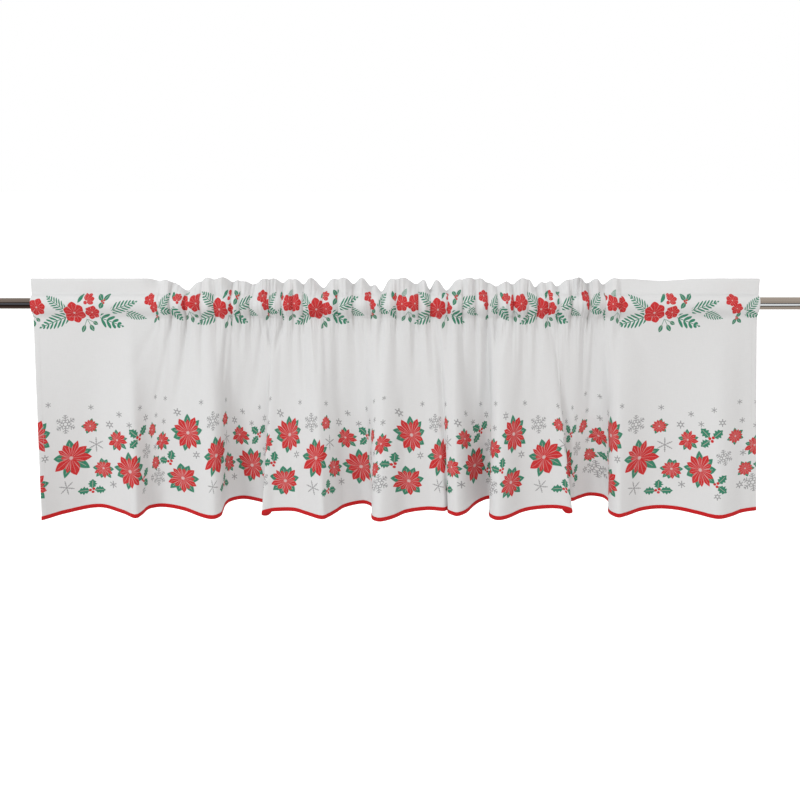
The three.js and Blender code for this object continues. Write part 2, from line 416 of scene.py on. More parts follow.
REPEAT = 335.8           # mm of cloth from a motif to its next copy
REPEAT_START = 58.0      # mm from the left edge to the first large bloom
OFF_PRINT = 9.0          # a mark that is too far off for any motif
RAMP_REACH = 1.25        # a lobe's reach in a colour ramp is a share of this, so that it stays under 1

BORDER = (
    Placed(Motif.BROAD_BLOOM, 2, 110, 38),
    Placed(Motif.STARRY_BLOOM, -65, 160, 37),
    Placed(Motif.STARRY_BLOOM, 115, 90, 37),
    Placed(Motif.RAGGED_BLOOM, -72, 66, 34),
    Placed(Motif.RAGGED_BLOOM, 60, 84, 24),
    Placed(Motif.BROAD_BLOOM, 90, 147, 21.5),
    Placed(Motif.BROAD_BLOOM, -119, 135, 20.5, -12),
    Placed(Motif.DAISY, 38, 171, 17),
    Placed(Motif.DAISY, -155, 158, 17.5, 20),
    Placed(Motif.DAISY, -136, 89, 18, 40),
    Placed(Motif.HOLLY_FAN, 136, 154, 28),
    Placed(Motif.HOLLY_CROSS, 37, 37, 26),
    Placed(Motif.HOLLY_PAIR, -96, 93, 26),
    Placed(Motif.HOLLY_FORK, 146, 66, 26),
    Placed(Motif.SNOWFLAKE, -6, 179, 20),
    Placed(Motif.SNOWFLAKE, 160, 119, 17, 10),
    Placed(Motif.SNOWFLAKE, -122, 59, 20, 5),
    Placed(Motif.ICE_STAR, 48, 133, 16),
    Placed(Motif.ICE_STAR, -8, 51, 15.5, 12),
    Placed(Motif.FLECK, -37, 220, 6),
    Placed(Motif.RING_FLECK, -47, 117, 8),
    Placed(Motif.FLECK, 41, 209, 6),
    Placed(Motif.FLECK, 96, 199, 6.5),
    Placed(Motif.RING_FLECK, 76, 176, 8.5),
    Placed(Motif.FLECK, 116, 181, 6.5),
    Placed(Motif.FLECK, 140, 211, 6),
    Placed(Motif.RING_FLECK, 156, 187, 8),
    Placed(Motif.FLECK, 79, 54, 8),
    Placed(Motif.RING_FLECK, 148, 43, 8),
    Placed(Motif.FLECK, -115, 222, 5.5),
    Placed(Motif.FLECK, -116, 175, 6.5),
    Placed(Motif.RING_FLECK, -87, 198, 8.5),
    Placed(Motif.FLECK, -140, 122, 7),
    Placed(Motif.RING_FLECK, -146, 58, 8),
    Placed(Motif.FLECK, -142, 187, 6),
    Placed(Motif.FLECK, -147, 224, 5.5),
)

GARLAND_MIDDLE = 21.7    # mm from the first large bloom to the garland's large blossom

GARLAND = (
    Placed(Motif.BLOSSOM, 0, 396.5, 21.5, 10),
    Placed(Motif.BLOSSOM, 33.5, 397.5, 14.5, 40),
    Placed(Motif.BUD, 26, 419, 15, -15),
    Placed(Motif.LEAF, 14, 423.5, 9.5, 57, 0.36),
    Placed(Motif.BLOSSOM, -68.5, 407.5, 17, -20),
    Placed(Motif.BLOSSOM, -96, 407, 15.5, 25),
    Placed(Motif.BUD, -116, 413, 13, 40),
    Placed(Motif.BLOSSOM, 145, 420, 13, 0, 0.85),
    Placed(Motif.BLOSSOM, 155.5, 405, 11.5, 30),
    Placed(Motif.DROPS, 21, 384, 27, 0),
    Placed(Motif.BERRY_SPRIG, 56.7, 418, 18, 0),
    Placed(Motif.FROND, 67, 378, 25, -21, 0.52),
    Placed(Motif.FERN, 95, 410, 27.5, 19, 0.38),
    Placed(Motif.FERN, 115, 390, 19.5, -17, 0.42),
    Placed(Motif.FERN, -34, 415.5, 21, 144, 0.48),
    Placed(Motif.FERN, -42.5, 377.5, 29.5, -158, 0.44),
    Placed(Motif.DROPS, -82, 393, 24, -15),
    Placed(Motif.BERRY_SPRIG, 159, 386, 15, 190),
    Placed(Motif.FERN, -151, 413, 18, 50, 0.50),
    Placed(Motif.FROND, -148, 393, 15, -15, 0.50),
    Placed(Motif.LEAF, -126, 421, 8, 100, 0.45),
    Placed(Motif.FROND, -119, 386, 17, -50, 0.60),
    Placed(Motif.FERN, -90, 425, 9, 60, 0.55),
)


@dataclass(frozen=True)
class MotifGroup:
    """Motifs that are drawn together, each point taking the nearest of them."""

    name: str
    blooms: bool
    layers: int                  # attributes that the group's motifs are spread over

    def names(self) -> list[str]:
        """The attributes' names."""
        return [f"{self.name}_{number}" for number in range(self.layers)]


FLOWERS = MotifGroup("flowers", True, 3)
SPRIGS = MotifGroup("sprigs", False, 3)


@dataclass
class PrintChart:
    """Lays one group's motifs out on the flat cloth and tells each face which it may carry."""

    group: MotifGroup
    clearance: float = 9.0       # mm between two motifs on one layer
    least_slim: float = 0.6      # a slim motif's clear space, for its length

    def __post_init__(self) -> None:
        """Gathers the border and the garland, and spreads them over the layers."""
        placed = [
            replace(p, u=p.u + REPEAT_START + start)
            for table, start in ((BORDER, 0.0), (GARLAND, GARLAND_MIDDLE))
            for p in table
            if (p.motif in PETALS) == self.group.blooms
        ]
        self.spread: list[list[Placed]] = [[] for _ in range(self.group.layers)]
        for motif in sorted(placed, key=lambda p: -p.size):
            room = [self._room(motif, layer) for layer in self.spread]
            free = [i for i, space in enumerate(room) if space > self.clearance]
            self.spread[free[0] if free else int(np.argmax(room))].append(motif)

    @staticmethod
    def _away(u: Union[float, Array]) -> Union[float, Array]:
        """The distance across the cloth to the nearest copy."""
        return (u + REPEAT / 2) % REPEAT - REPEAT / 2

    def _room(self, motif: Placed, layer: list[Placed]) -> float:
        """The clear space from a motif to the nearest one of a layer.

        Args:
            motif: the motif.
            layer: the motifs that the layer has already.

        Returns:
            The space in mm, less than nothing where two overlap.
        """
        return min(
            (
                math.hypot(self._away(motif.u - other.u), motif.v - other.v)
                - sum(one.size * max(one.slim, self.least_slim) for one in (motif, other))
                for other in layer
            ),
            default=math.inf,
        )

    def marks(self, layer: int, u: Array, v: Array) -> Array:
        """Gives a layer's attribute: the corner's place on its motif, and the motif's number.

        Args:
            layer: the layer's number.
            u: the corners' places across the flat cloth in mm, four for each face.
            v: their heights.

        Returns:
            Three numbers for each corner.
        """
        motifs = self.spread[layer]
        face_u, face_v = u.mean(axis=1), v.mean(axis=1)
        nearest = np.zeros(len(face_u), int)
        best = np.full(len(face_u), np.inf)
        for index, motif in enumerate(motifs):
            along, up = self._local(motif, self._away(face_u - motif.u), face_v - motif.v)
            distance = np.hypot(along, up)
            closer = distance < best
            nearest[closer] = index
            best = np.minimum(best, distance)
        result = np.full((len(face_u), 4, 3), OFF_PRINT)
        for index, motif in enumerate(motifs):
            chosen = nearest == index
            shift = self._away(face_u[chosen] - motif.u) - face_u[chosen]
            along, up = self._local(motif, u[chosen] + shift[:, None], v[chosen] - motif.v)
            result[chosen, :, 0] = along
            result[chosen, :, 1] = up
            result[chosen, :, 2] = motif.motif.value
        return result.reshape(-1, 3)

    @staticmethod
    def _local(motif: Placed, across: Array, up: Array) -> tuple[Array, Array]:
        """Turns and scales a place into the motif's own measure, where its edge is at 1.

        Args:
            motif: the motif.
            across: distances from its middle in mm, across the cloth.
            up: and up it.

        Returns:
            The place along the motif's own direction, and the one beside it.
        """
        turn = math.radians(motif.turn)
        along = (across * math.cos(turn) + up * math.sin(turn)) / motif.size
        side = (up * math.cos(turn) - across * math.sin(turn)) / (motif.size * motif.slim)
        return along, side


# ---- Finishes -------------------------------------------------------------------------------------


def darker(colour: Colour, share: float) -> Colour:
    """A colour with only a share of its light."""
    red, green, blue = (part * share for part in colour)
    return red, green, blue


def plain_weave(across: Value, up: Value, thread: float) -> Value:
    """The height of a plain weave from -1 to 1, with a thread at every given distance in metres."""
    turns = math.pi / thread
    return (across * turns).math("SINE") * (up * turns).math("SINE")


@dataclass(frozen=True)
class MotifPoint:
    """Where a shaded point lies on the motif that is drawn there."""

    x: Value
    y: Value
    away: Value                  # from the motif's middle, 1 at its edge
    turn: Value                  # its direction, from 0 to 1
    chosen: dict[Motif, Value]   # 1 where a motif is the point's own

    def any_of(self, *motifs: Motif) -> Number:
        """1 where the point is on one of these motifs."""
        shares = [self.chosen[motif] for motif in motifs if motif in self.chosen]
        return sum(shares[1:], shares[0]) if shares else 0.0


@dataclass(frozen=True)
class PrintedCotton:
    """Fine white plain weave with a red, green and grey print on one side, and painted shade in the
    gathers' tucks.
    """

    ground: Colour = (0.700, 0.704, 0.708)
    red: Colour = (0.540, 0.018, 0.020)
    green: Colour = (0.030, 0.205, 0.120)
    grey: Colour = (0.300, 0.302, 0.308)
    pale: Colour = (0.640, 0.500, 0.490)
    # painted shade: the colour that darkens the deep tucks, whose folds the mesh doesn't model
    tuck_shade: Colour = (0.42, 0.38, 0.35)
    tuck_shade_strength: float = 0.55
    thread: float = 0.00046       # metres from a thread to the next
    reach: float = 1.14           # how far past its size a motif is drawn
    plump: float = 2.3            # a lobe's width in the middle, against the width in its table
    round_plump: float = 1.60     # the same for a round petal
    edge: float = 0.02            # softness of a printed edge, for a motif of size 1
    slubs: tuple[float, float] = (60.0, 1400.0)      # thick threads in a metre: along and across them
    crumples: float = 55.0                           # in a metre
    pinches: tuple[float, float] = (150.0, 20.0)     # in a metre across the cloth, and up it
    pinched_across: tuple[float, float] = (0.24, 1.70)    # metres from the left edge
    pinched_up: tuple[float, float] = (0.335, 0.56)       # metres above the lower edge

    def build(self, name: str, strength: float) -> bpy.types.Material:
        """Makes the cloth's material.

        Args:
            name: the material's name.
            strength: how strongly the print shows, 1 on the printed side.

        Returns:
            The material.
        """
        shader = Shader(name)
        uv = shader.node("ShaderNodeUVMap", {"uv_map": "flat_cloth"}).outputs[0]
        across, up, _ = shader.split(uv)
        ground = self._ground(shader, across, up)
        printed = self._flowers(shader, self._sprigs(shader, ground))
        ink = shader.clamp(shader.noise(uv, 900.0, 2.0) * 0.9 + 0.58) * strength
        colour = shader.mix(ink, ground, printed)
        # Painted shade: the tucks of the pocket and the frill darken the colour, standing in for the
        # shadow in their deep folds.
        tuck = Value(shader, shader.attribute("tuck", "Fac"))
        colour = shader.mix(tuck * self.tuck_shade_strength, colour, self.tuck_shade, "MULTIPLY")
        return shader.finish({
            "Base Color": colour,
            "Roughness": 0.92,
            "Specular IOR Level": 0.12,
            "Sheen Weight": 0.04,
            "Sheen Roughness": 0.5,
            "Normal": self._weave(shader, uv, across, up),
        })

    def _ground(self, shader: Shader, across: Value, up: Value) -> bpy.types.NodeSocket:
        """The unprinted cloth, with faint thicker threads both ways.

        Args:
            shader: the material under construction.
            across: metres from the left edge.
            up: metres above the lower edge.

        Returns:
            The colour's socket.
        """
        along, beside = self.slubs
        weft = shader.noise(shader.join(across * along, up * beside), 1.0, 3.0)
        warp = shader.noise(shader.join(across * beside, up * along), 1.0, 3.0)
        thick = (weft + warp - 1.0) * 0.9
        return shader.mix(shader.clamp(thick + 0.5), self.ground, darker(self.ground, 0.93))

    def _weave(
        self, shader: Shader, uv: bpy.types.NodeSocket, across: Value, up: Value
    ) -> bpy.types.NodeSocket:
        """The bump of a plain weave, of washed cotton's crumple, and of the gathers' pinches.

        Args:
            shader: the material under construction.
            uv: the flat measure's socket.
            across: metres from the left edge.
            up: metres above the lower edge.

        Returns:
            The normal's socket.
        """
        crumple = shader.noise(uv, self.crumples, 4.0)
        pinch = shader.noise(shader.join(across * self.pinches[0], up * self.pinches[1]), 1.0, 2.0)
        for place, (start, end), fade in (
            (across, self.pinched_across, 0.10), (up, self.pinched_up, 0.05),
        ):
            pinch = pinch * shader.step(place - start, fade) * shader.step(end - place, fade)
        height = plain_weave(across, up, self.thread) * 0.12 + crumple * 0.9 + pinch * 12.0
        return shader.bump(height, 0.35, 0.0006)

    def _nearest_motif(self, shader: Shader, group: MotifGroup) -> MotifPoint:
        """Picks, of the motifs that a face may carry, the one that the point is nearest to.

        Args:
            shader: the material under construction.
            group: the motifs to pick from.

        Returns:
            The place on that motif.
        """
        best = distance = code = None
        for name in group.names():
            along, side, number = shader.split(shader.attribute(name, "Vector"))
            flat = shader.join(along, side)
            away = Value(shader, shader.vector("LENGTH", flat, output="Value"))
            if best is None:
                best, distance, code = flat, away, number
                continue
            closer = away < distance
            best = shader.mix(closer, best, flat)
            code = code + closer * (number - code)
            distance = distance.math("MINIMUM", away)
        inside = distance < self.reach
        x, y, _ = shader.split(best)
        turn = y.math("ARCTAN2", x) / (2 * math.pi) + 0.5
        number = code * inside
        chosen = {
            motif: number.math("COMPARE", float(motif.value), 0.5)
            for motif in Motif
            if (motif in PETALS) == group.blooms
        }
        return MotifPoint(x, y, distance, turn, chosen)

    def _sprigs(self, shader: Shader, ground: Any) -> bpy.types.NodeSocket:
        """Prints the snowflakes, the holly, the ferns and the twigs on the ground.

        Args:
            shader: the material under construction.
            ground: the cloth's colour.

        Returns:
            The printed colour.
        """
        point = self._nearest_motif(shader, SPRIGS)
        charts = {motif: lobes for motif, lobes in LEAVES.items() if motif not in PETALS}
        edge, rib, along, _ = self._lobes(shader, charts, point)
        leaf = shader.step(edge, self.edge)
        vein = shader.step(0.026 - rib, self.edge) * shader.step(0.84 - along, 0.05)
        twig = shader.step(0.028 - rib, self.edge) * shader.step(0.6 - along, 0.05)
        twig = twig * shader.step(along + 0.9, 0.05) * point.any_of(Motif.DROPS, Motif.BERRY_SPRIG)
        plant = leaf.math("MAXIMUM", twig).math("MAXIMUM", self._fern(shader, point))
        green = shader.mix(vein * leaf * 0.65, self.green, self.pale)
        drawn = shader.mix(self._flake(shader, point), ground, self.grey)
        drawn = shader.mix(plant, drawn, green)
        berries = self._berries(shader, point) * point.any_of(*BERRIED)
        return shader.mix(berries, drawn, self.red)

    def _flowers(self, shader: Shader, ground: Any) -> bpy.types.NodeSocket:
        """Prints the blooms and the blossoms, with their leaves, over the rest.

        Args:
            shader: the material under construction.
            ground: the colour under them.

        Returns:
            The printed colour.
        """
        point = self._nearest_motif(shader, FLOWERS)
        charts = {motif: lobes for motif, lobes in LEAVES.items() if motif in PETALS}
        leaf_edge, leaf_rib, leaf_along, _ = self._lobes(shader, charts, point)
        petal_edge, petal_rib, petal_along, border = self._lobes(shader, PETALS, point)
        vein = shader.step(0.022 - leaf_rib, self.edge) * shader.step(0.8 - leaf_along, 0.05)
        rib = shader.step(0.016 - petal_rib, self.edge) * shader.step(0.86 - petal_along, 0.05)
        rim = shader.step(0.024 - border, self.edge) * shader.step(0.90 - petal_along, 0.10)
        rim = rim * shader.step(petal_along - 0.14, 0.30)
        heart = shader.step(0.11 - point.away, 0.04) * point.any_of(*PETALS)
        green = shader.mix(vein * 0.65, self.green, self.pale)
        red = shader.mix((rib * 0.62).math("MAXIMUM", rim * 0.66), self.red, self.pale)
        drawn = shader.mix(shader.step(leaf_edge, self.edge), ground, green)
        drawn = shader.mix(shader.step(petal_edge, self.edge), drawn, red)
        return shader.mix(heart * 0.8, drawn, self.pale)

    def _lobes(
        self,
        shader: Shader,
        charts: dict[Motif, tuple[Lobe, ...]],
        point: MotifPoint,
    ) -> tuple[Value, Value, Value, Value]:
        """Finds the petal or leaf that lies in the point's direction.

        Args:
            shader: the material under construction.
            charts: the lobes of each motif.
            point: the place on the motif.

        Returns:
            The distance inside the lobe's edge, the distance from its rib, how far along it is, and
            the distance from its border with the next lobe.
        """
        chosen: Any = (0.0, 0.0, 0.0)
        slope: Number = 0.0
        for motif, lobes in charts.items():
            ramp = shader.node(
                "ShaderNodeValToRGB",
                {"ramp": "CONSTANT", "stops": self._sectors(lobes)},
                {"Fac": point.turn},
            )
            chosen = shader.mix(point.chosen[motif], chosen, ramp.outputs[0])
            slope = point.chosen[motif] * shader.value(ramp, 1) + slope
        axis, reach, width = shader.split(chosen)
        off_axis = (point.turn - axis) * (2 * math.pi)
        along = point.away * off_axis.math("COSINE")
        beside = (point.away * off_axis.math("SINE")).math("ABSOLUTE")
        holly = point.any_of(*HOLLIES)
        stalk = point.any_of(Motif.DROPS) * 0.44 + holly * 0.14 + point.any_of(Motif.BERRY_SPRIG) * 0.05
        share = (along - stalk) / (reach * RAMP_REACH - stalk).math("MAXIMUM", 0.01)
        lens = share * (1.0 - share)
        half = lens * (width * self.plump)
        rounded = point.any_of(*ROUND_PETALLED)
        full = lens.math("MAXIMUM", 0.0).math("POWER", 0.70) * (width * self.round_plump)
        half = half + rounded * (full - half)
        spikes = (share * 8.0).math("PINGPONG", 1.0)
        half = half * (1.0 - holly * (spikes * 0.42))
        border = (along * slope * RAMP_REACH - beside).math("ABSOLUTE")
        return half - beside, beside, share, border

    @staticmethod
    def _sectors(lobes: Sequence[Lobe]) -> list[tuple[float, tuple[float, float, float, float]]]:
        """A ramp's stops: over each sector of the full turn, the lobe there and its border's slope.

        Args:
            lobes: a motif's petals or leaves.

        Returns:
            Positions, and (direction, reach, width, slope) in place of a colour.
        """
        turns = sorted(((lobe.turn + 180.0) % 360.0 / 360.0, lobe) for lobe in lobes)
        borders = []
        for index, (turn, lobe) in enumerate(turns):
            before, previous = turns[index - 1]
            before -= 1.0 if index == 0 else 0.0
            borders.append(before + (turn - before) * previous.width / (previous.width + lobe.width))
        borders.append(borders[0] + 1.0)
        stops = []
        for index, (turn, lobe) in enumerate(turns):
            room = min(turn - borders[index], borders[index + 1] - turn, 0.2)
            slope = math.tan(room * 2 * math.pi)
            chart = (turn, lobe.reach / RAMP_REACH, lobe.width, slope / RAMP_REACH)
            stops.append((borders[index], chart))
        first, last = stops[0], stops[-1]
        if first[0] >= 0:
            return [(0.0, last[1])] + stops
        return [(0.0, first[1])] + stops[1:] + [(1.0 + first[0], first[1])]

    def _fern(self, shader: Shader, point: MotifPoint) -> Value:
        """Leaflets in pairs along a stem, fine on a fern and broad on a frond.

        Args:
            shader: the material under construction.
            point: the place on the motif.

        Returns:
            1 where the leaflets and the stem are.
        """
        x, frond = point.x, point.any_of(Motif.FROND)
        pitch = frond * 0.14 + 0.29
        height = point.y.math("ABSOLUTE")
        leaning = x - height * 0.45 + 1.0
        within = (leaning / pitch).math("FRACT") - 0.5
        reach = (1.0 - x) * (x + 1.9) * 0.54
        rise = height / reach.math("MAXIMUM", 0.05)
        fat = (rise * (1.0 - rise) * 4.0).math("MAXIMUM", 0.0).math("POWER", 0.6)
        leaflet = shader.step(fat * (frond * 0.06 + 0.33) - within.math("ABSOLUTE"), 0.06)
        stem = shader.step(0.07 - height, 0.03) * shader.step(1.0 - x.math("ABSOLUTE"), 0.05)
        body = (leaflet * shader.step(0.98 - x.math("ABSOLUTE"), 0.05)).math("MAXIMUM", stem)
        single = shader.step(1.0 - x * x - height, 0.06) * point.any_of(Motif.LEAF)
        return (body * (point.any_of(Motif.FERN) + frond)).math("MAXIMUM", single)

    def _flake(self, shader: Shader, point: MotifPoint) -> Value:
        """Six arms, with side branches on the large ones and a ring in the middle of some.

        Args:
            shader: the material under construction.
            point: the place on the motif.

        Returns:
            1 where the lines are.
        """
        big, star = point.any_of(Motif.SNOWFLAKE), point.any_of(Motif.ICE_STAR)
        ringed = point.any_of(Motif.RING_FLECK)
        small = point.any_of(Motif.FLECK) + ringed
        folded = (point.turn * 6.0).math("FRACT") - 0.5
        angle = folded * (math.pi / 3)
        along = point.away * angle.math("COSINE")
        beside = (point.away * angle.math("SINE")).math("ABSOLUTE")
        line = big * 0.050 + star * 0.056 + small * 0.130
        lean = math.radians(30)
        arm = shader.step(line - beside, self.edge) * shader.step(0.96 - along, 0.04)
        marks = arm * (along > (big * 0.16 + ringed * 0.40))
        for start, spread in ((0.34, 0.26), (0.58, 0.28), (0.80, 0.16)):
            branch = ((along - start) * math.cos(lean) - beside * math.sin(lean)).math("ABSOLUTE")
            reach = shader.step(spread * (0.4 + big * 0.6) - beside, 0.03)
            marks = marks.math("MAXIMUM", shader.step(line - branch, self.edge) * reach * (big + star))
        ring = (point.away - (big * 0.20 + ringed * 0.38)).math("ABSOLUTE")
        marks = marks.math("MAXIMUM", shader.step(line - ring, self.edge) * (big + ringed))
        return marks * (big + star + small)

    def _berries(self, shader: Shader, point: MotifPoint) -> Value:
        """Three round berries close together.

        Args:
            shader: the material under construction.
            point: the place on the motif.

        Returns:
            1 where the berries are.
        """
        result: Optional[Value] = None
        for at_x, at_y in ((0.10, 0.12), (-0.13, 0.04), (0.04, -0.13)):
            across = point.x - at_x
            up = point.y - at_y
            dot = shader.step(0.115 - (across * across + up * up).math("SQRT"), self.edge)
            result = dot if result is None else result.math("MAXIMUM", dot)
        return result


@dataclass(frozen=True)
class RedTape:
    """Plain woven red tape."""

    colour: Colour = (0.600, 0.013, 0.016)
    thread: float = 0.00042       # metres from a thread to the next

    def build(self) -> bpy.types.Material:
        """Makes the material.

        Returns:
            The material, whose weave follows the tape's own length and width.
        """
        shader = Shader("red_tape")
        uv = shader.node("ShaderNodeUVMap", {"uv_map": "along_tape"}).outputs[0]
        across, up, _ = shader.split(uv)
        uneven = shader.noise(uv, 260.0, 3.0)
        height = plain_weave(across, up, self.thread) * 0.3 + uneven
        return shader.finish({
            "Base Color": shader.mix(uneven, self.colour, darker(self.colour, 0.72)),
            "Roughness": 0.82,
            "Specular IOR Level": 0.2,
            "Sheen Weight": 0.05,
            "Normal": shader.bump(height, 0.4, 0.0003),
        })


@dataclass(frozen=True)
class RodSteel:
    """Satin steel, drawn lengthwise."""

    name: str
    colour: Colour
    streaks: tuple[float, float, float] = (6.0, 900.0, 900.0)    # in a metre along X, Y and Z

    def build(self) -> bpy.types.Material:
        """Makes the material.

        Returns:
            The material, with fine streaks along the rod.
        """
        shader = Shader(self.name)
        place = shader.node("ShaderNodeTexCoord").outputs["Object"]
        streak = shader.noise(shader.vector("MULTIPLY", place, self.streaks), 1.0, 3.0, "3D")
        return shader.finish({
            "Base Color": shader.mix(streak, self.colour, darker(self.colour, 0.80)),
            "Metallic": 1.0,
            "Roughness": streak * 0.08 + 0.08,
            "Normal": shader.bump(streak, 0.04, 0.0001),
        })


@dataclass(frozen=True)
class SewingThread:
    """Spun thread."""

    name: str
    colour: Colour

    def build(self) -> bpy.types.Material:
        """Makes the material.

        Returns:
            The material, with the thread's own unevenness.
        """
        shader = Shader(self.name)
        place = shader.node("ShaderNodeTexCoord").outputs["Object"]
        spun = shader.noise(place, 4000.0, 1.0, "3D")
        return shader.finish({
            "Base Color": shader.mix(spun, self.colour, darker(self.colour, 0.85)),
            "Roughness": 0.7,
            "Sheen Weight": 0.2,
        })


# ---- How the cloth hangs --------------------------------------------------------------------------


def curve_through(stops: Sequence[Sequence[float]], u: Array, column: int) -> Array:
    """A smooth curve through one column of a table whose first column runs across the cloth.

    Args:
        stops: the table.
        u: places across the flat cloth.
        column: the column's number.

    Returns:
        The column's value at each place.
    """
    table = np.array(stops, float)
    at, value = table[:, 0], table[:, column]
    slope = np.empty(len(at))
    slope[1:-1] = (value[2:] - value[:-2]) / (at[2:] - at[:-2])
    slope[0] = (value[1] - value[0]) / (at[1] - at[0])
    slope[-1] = (value[-1] - value[-2]) / (at[-1] - at[-2])
    i = np.clip(np.searchsorted(at, u, side="left") - 1, 0, len(at) - 2)
    width = at[i + 1] - at[i]
    t = (u - at[i]) / width
    return (
        (2 * t**3 - 3 * t**2 + 1) * value[i]
        + (t**3 - 2 * t**2 + t) * width * slope[i]
        + (3 * t**2 - 2 * t**3) * value[i + 1]
        + (t**3 - t**2) * width * slope[i + 1]
    )


class Side(Enum):
    """The ply in front of the rod or the one behind it, as its direction along Y."""

    FRONT = -1
    BACK = 1


@dataclass(frozen=True)
class FoldPlan:
    """The hanging cloth's folds, as the CAD part has them, with the finer ones of real cotton."""

    width: float = 1957.0        # mm of flat cloth
    drop: float = 388.0          # mm from the lower seam to the lower edge
    pocket_low: float = -25.0    # mm above the rod's axis, of the lower seam
    pocket_high: float = 16.0    # and of the upper one
    pocket_depth: float = 14.2   # mm from the rod's axis to the cloth in front of it
    frill_height: float = 30.0
    frill_ruffle: float = 0.35   # how much further the frill's top stands out than its foot
    hem_ride: float = 0.12       # mm that the lower edge rises for each mm that a fold goes back
    fold_growth: float = 0.9     # how the folds deepen on the way down: 1 is evenly
    gather_fade: float = 0.42    # share of the drop by which the gathers have died away
    gather_share: float = 0.4    # depth of a gather, for its width
    gather_most: float = 12.0    # mm that a gather is deep at the most
    full_within: float = 30.0    # mm on either side of the outermost tuck in which the fullness starts
    seam_share: float = 0.55     # how much of a gather's depth the seams have
    crease_depth: float = 1.45   # times the depth in the table of creases
    ruffle_depth: float = 2.6    # mm at the frill's foot
    ruffle_fade: float = 28.0    # mm of the panel over which the ruffle dies away
    ply: float = 0.42            # mm from the middle of two plies to the middle of each
    hem_ply: float = 1.0         # the same where a side hem lies between them
    ply_fade: float = 0.05       # share of the drop below which there is one ply
    hem_zone: float = 16.0       # mm from a side edge that a side hem is felt
    swallowed: float = 0.65      # share of the gathered print that the tucks hide
    garland_rise: float = 8.0    # mm that the gathers draw the garland up
    garland_foot: float = 352.0  # mm above the lower edge from which the tucks hide print
    border_top: float = 275.0    # mm above the lower edge at which the border's print ends
    tuck_shade_width: float = 1.7      # mm to each side of a tuck's painted shade line mm of the panel that a tuck's painted shade runs down
    tuck_shade_below: float = 34.0     # mm of the panel that a tuck runs down
    tuck_shade_above: float = 30.0     # mm of the frill that it runs up

    # Where the flat cloth sits along the rod: (distance across the cloth, place along the rod).
    head_stops: tuple[tuple[float, float], ...] = (
        (0, -686), (220, -467), (414, -333), (750, -159), (1087, 71), (1423, 263), (1694, 411),
        (1957, 668),
    )
    # The tucks where the cloth is pinched towards the rod, as places along the rod.
    tucks: tuple[float, ...] = (
        -450, -428, -400, -372, -345, -314, -298, -280, -243, -220, -200, -181, -144, -116, -88, -54,
        -35, -8, 34, 56, 88, 116, 140, 162, 181, 211, 237, 256, 276, 295, 319, 351, 381, 411,
    )
    # The lower edge in plan: (distance across the cloth, x, y).
    hem_folds: tuple[tuple[float, float, float], ...] = (
        (0, -690, -28), (47, -654, 5), (108, -594, 30), (158, -539, 3), (181, -512, -18),
        (196, -503, 0), (215, -499, 17), (245, -490, 27), (286, -465, 31), (327, -423, 16),
        (362, -380, -15), (387, -360, -21), (405, -349, -7), (420, -348, 13), (440, -347, 36),
        (460, -339, 52), (492, -313, 61), (530, -277, 50), (562, -256, 40), (576, -255, 29),
        (590, -263, 19), (604, -271, 9), (618, -264, 8), (640, -246, 14), (679, -208, 14),
        (707, -182, -2), (738, -152, -22), (768, -138, -10), (795, -125, 9), (818, -109, 30),
        (847, -75, 44), (868, -57, 34), (884, -52, 14), (912, -55, -13), (930, -50, -28),
        (944, -37, -34), (966, -14, -19), (991, 11, 6), (1035, 55, 19), (1070, 86, 15),
        (1088, 96, 22), (1106, 94, 8), (1122, 102, -2), (1136, 112, -7), (1152, 128, 5),
        (1175, 145, 33), (1190, 157, 48), (1215, 177, 61), (1232, 190, 57), (1244, 195, 45),
        (1256, 185, 26), (1268, 175, 6), (1280, 175, -12), (1292, 184, -25), (1304, 195, -26),
        (1324, 211, -16), (1354, 238, 9), (1382, 265, 21), (1419, 301, 26), (1444, 329, 23),
        (1457, 340, 25), (1468, 339, 33), (1480, 329, 38), (1492, 323, 45), (1506, 328, 52),
        (1540, 346, 54), (1564, 357, 61), (1600, 383, 72), (1622, 408, 66), (1632, 416, 53),
        (1645, 417, 38), (1658, 412, 24), (1670, 409, 11), (1681, 413, -3), (1694, 424, -14),
        (1710, 439, -7), (1741, 474, 16), (1775, 511, 25), (1810, 548, 19), (1848, 581, 1),
        (1888, 616, -21), (1914, 647, -7), (1930, 668, 8), (1957, 701, 18),
    )
    # How far the border's print strays: (distance across the cloth, leftwards, upwards).
    print_strays: tuple[tuple[float, float, float], ...] = (
        (0, 0, 0), (170, 0, 0), (239, 6, 6), (275, 8, 4), (325, 0, 0), (360, 0, 6), (388, 1, 12),
        (432, 3, 15), (455, 4, 3), (483, 3, -5), (508, -2, -13), (530, -2, -8), (575, 2, 0),
        (611, 6, 8), (633, 3, 5), (660, -2, -4), (695, -1, 3), (725, 0, 8), (767, -1, 14),
        (789, -2, 10), (819, -3, 0), (845, -4, -10), (868, -7, -6), (905, 0, 0), (944, 6, 15),
        (969, 2, 11), (993, -4, 0), (1010, -6, -4), (1067, -3, 1), (1100, 0, 8), (1125, 3, 12),
        (1155, -3, 3), (1180, -3, -7), (1205, -5, -3), (1250, 0, 0), (1329, 1, 3), (1365, -2, 0),
        (1400, -4, -4), (1438, -8, 5), (1462, -5, 0), (1500, 1, -6), (1537, 6, -9), (1562, 6, -5),
        (1582, 6, 3), (1601, 5, 5), (1625, 0, 0), (1670, -2, -3), (1739, 3, 0), (1800, 0, 0),
        (1957, 0, 0),
    )
    # Doubled folds that hang lower: (place, half width, extra length).
    hem_sags: tuple[tuple[float, float, float], ...] = ((586, 16, 12), (1476, 18, 16))
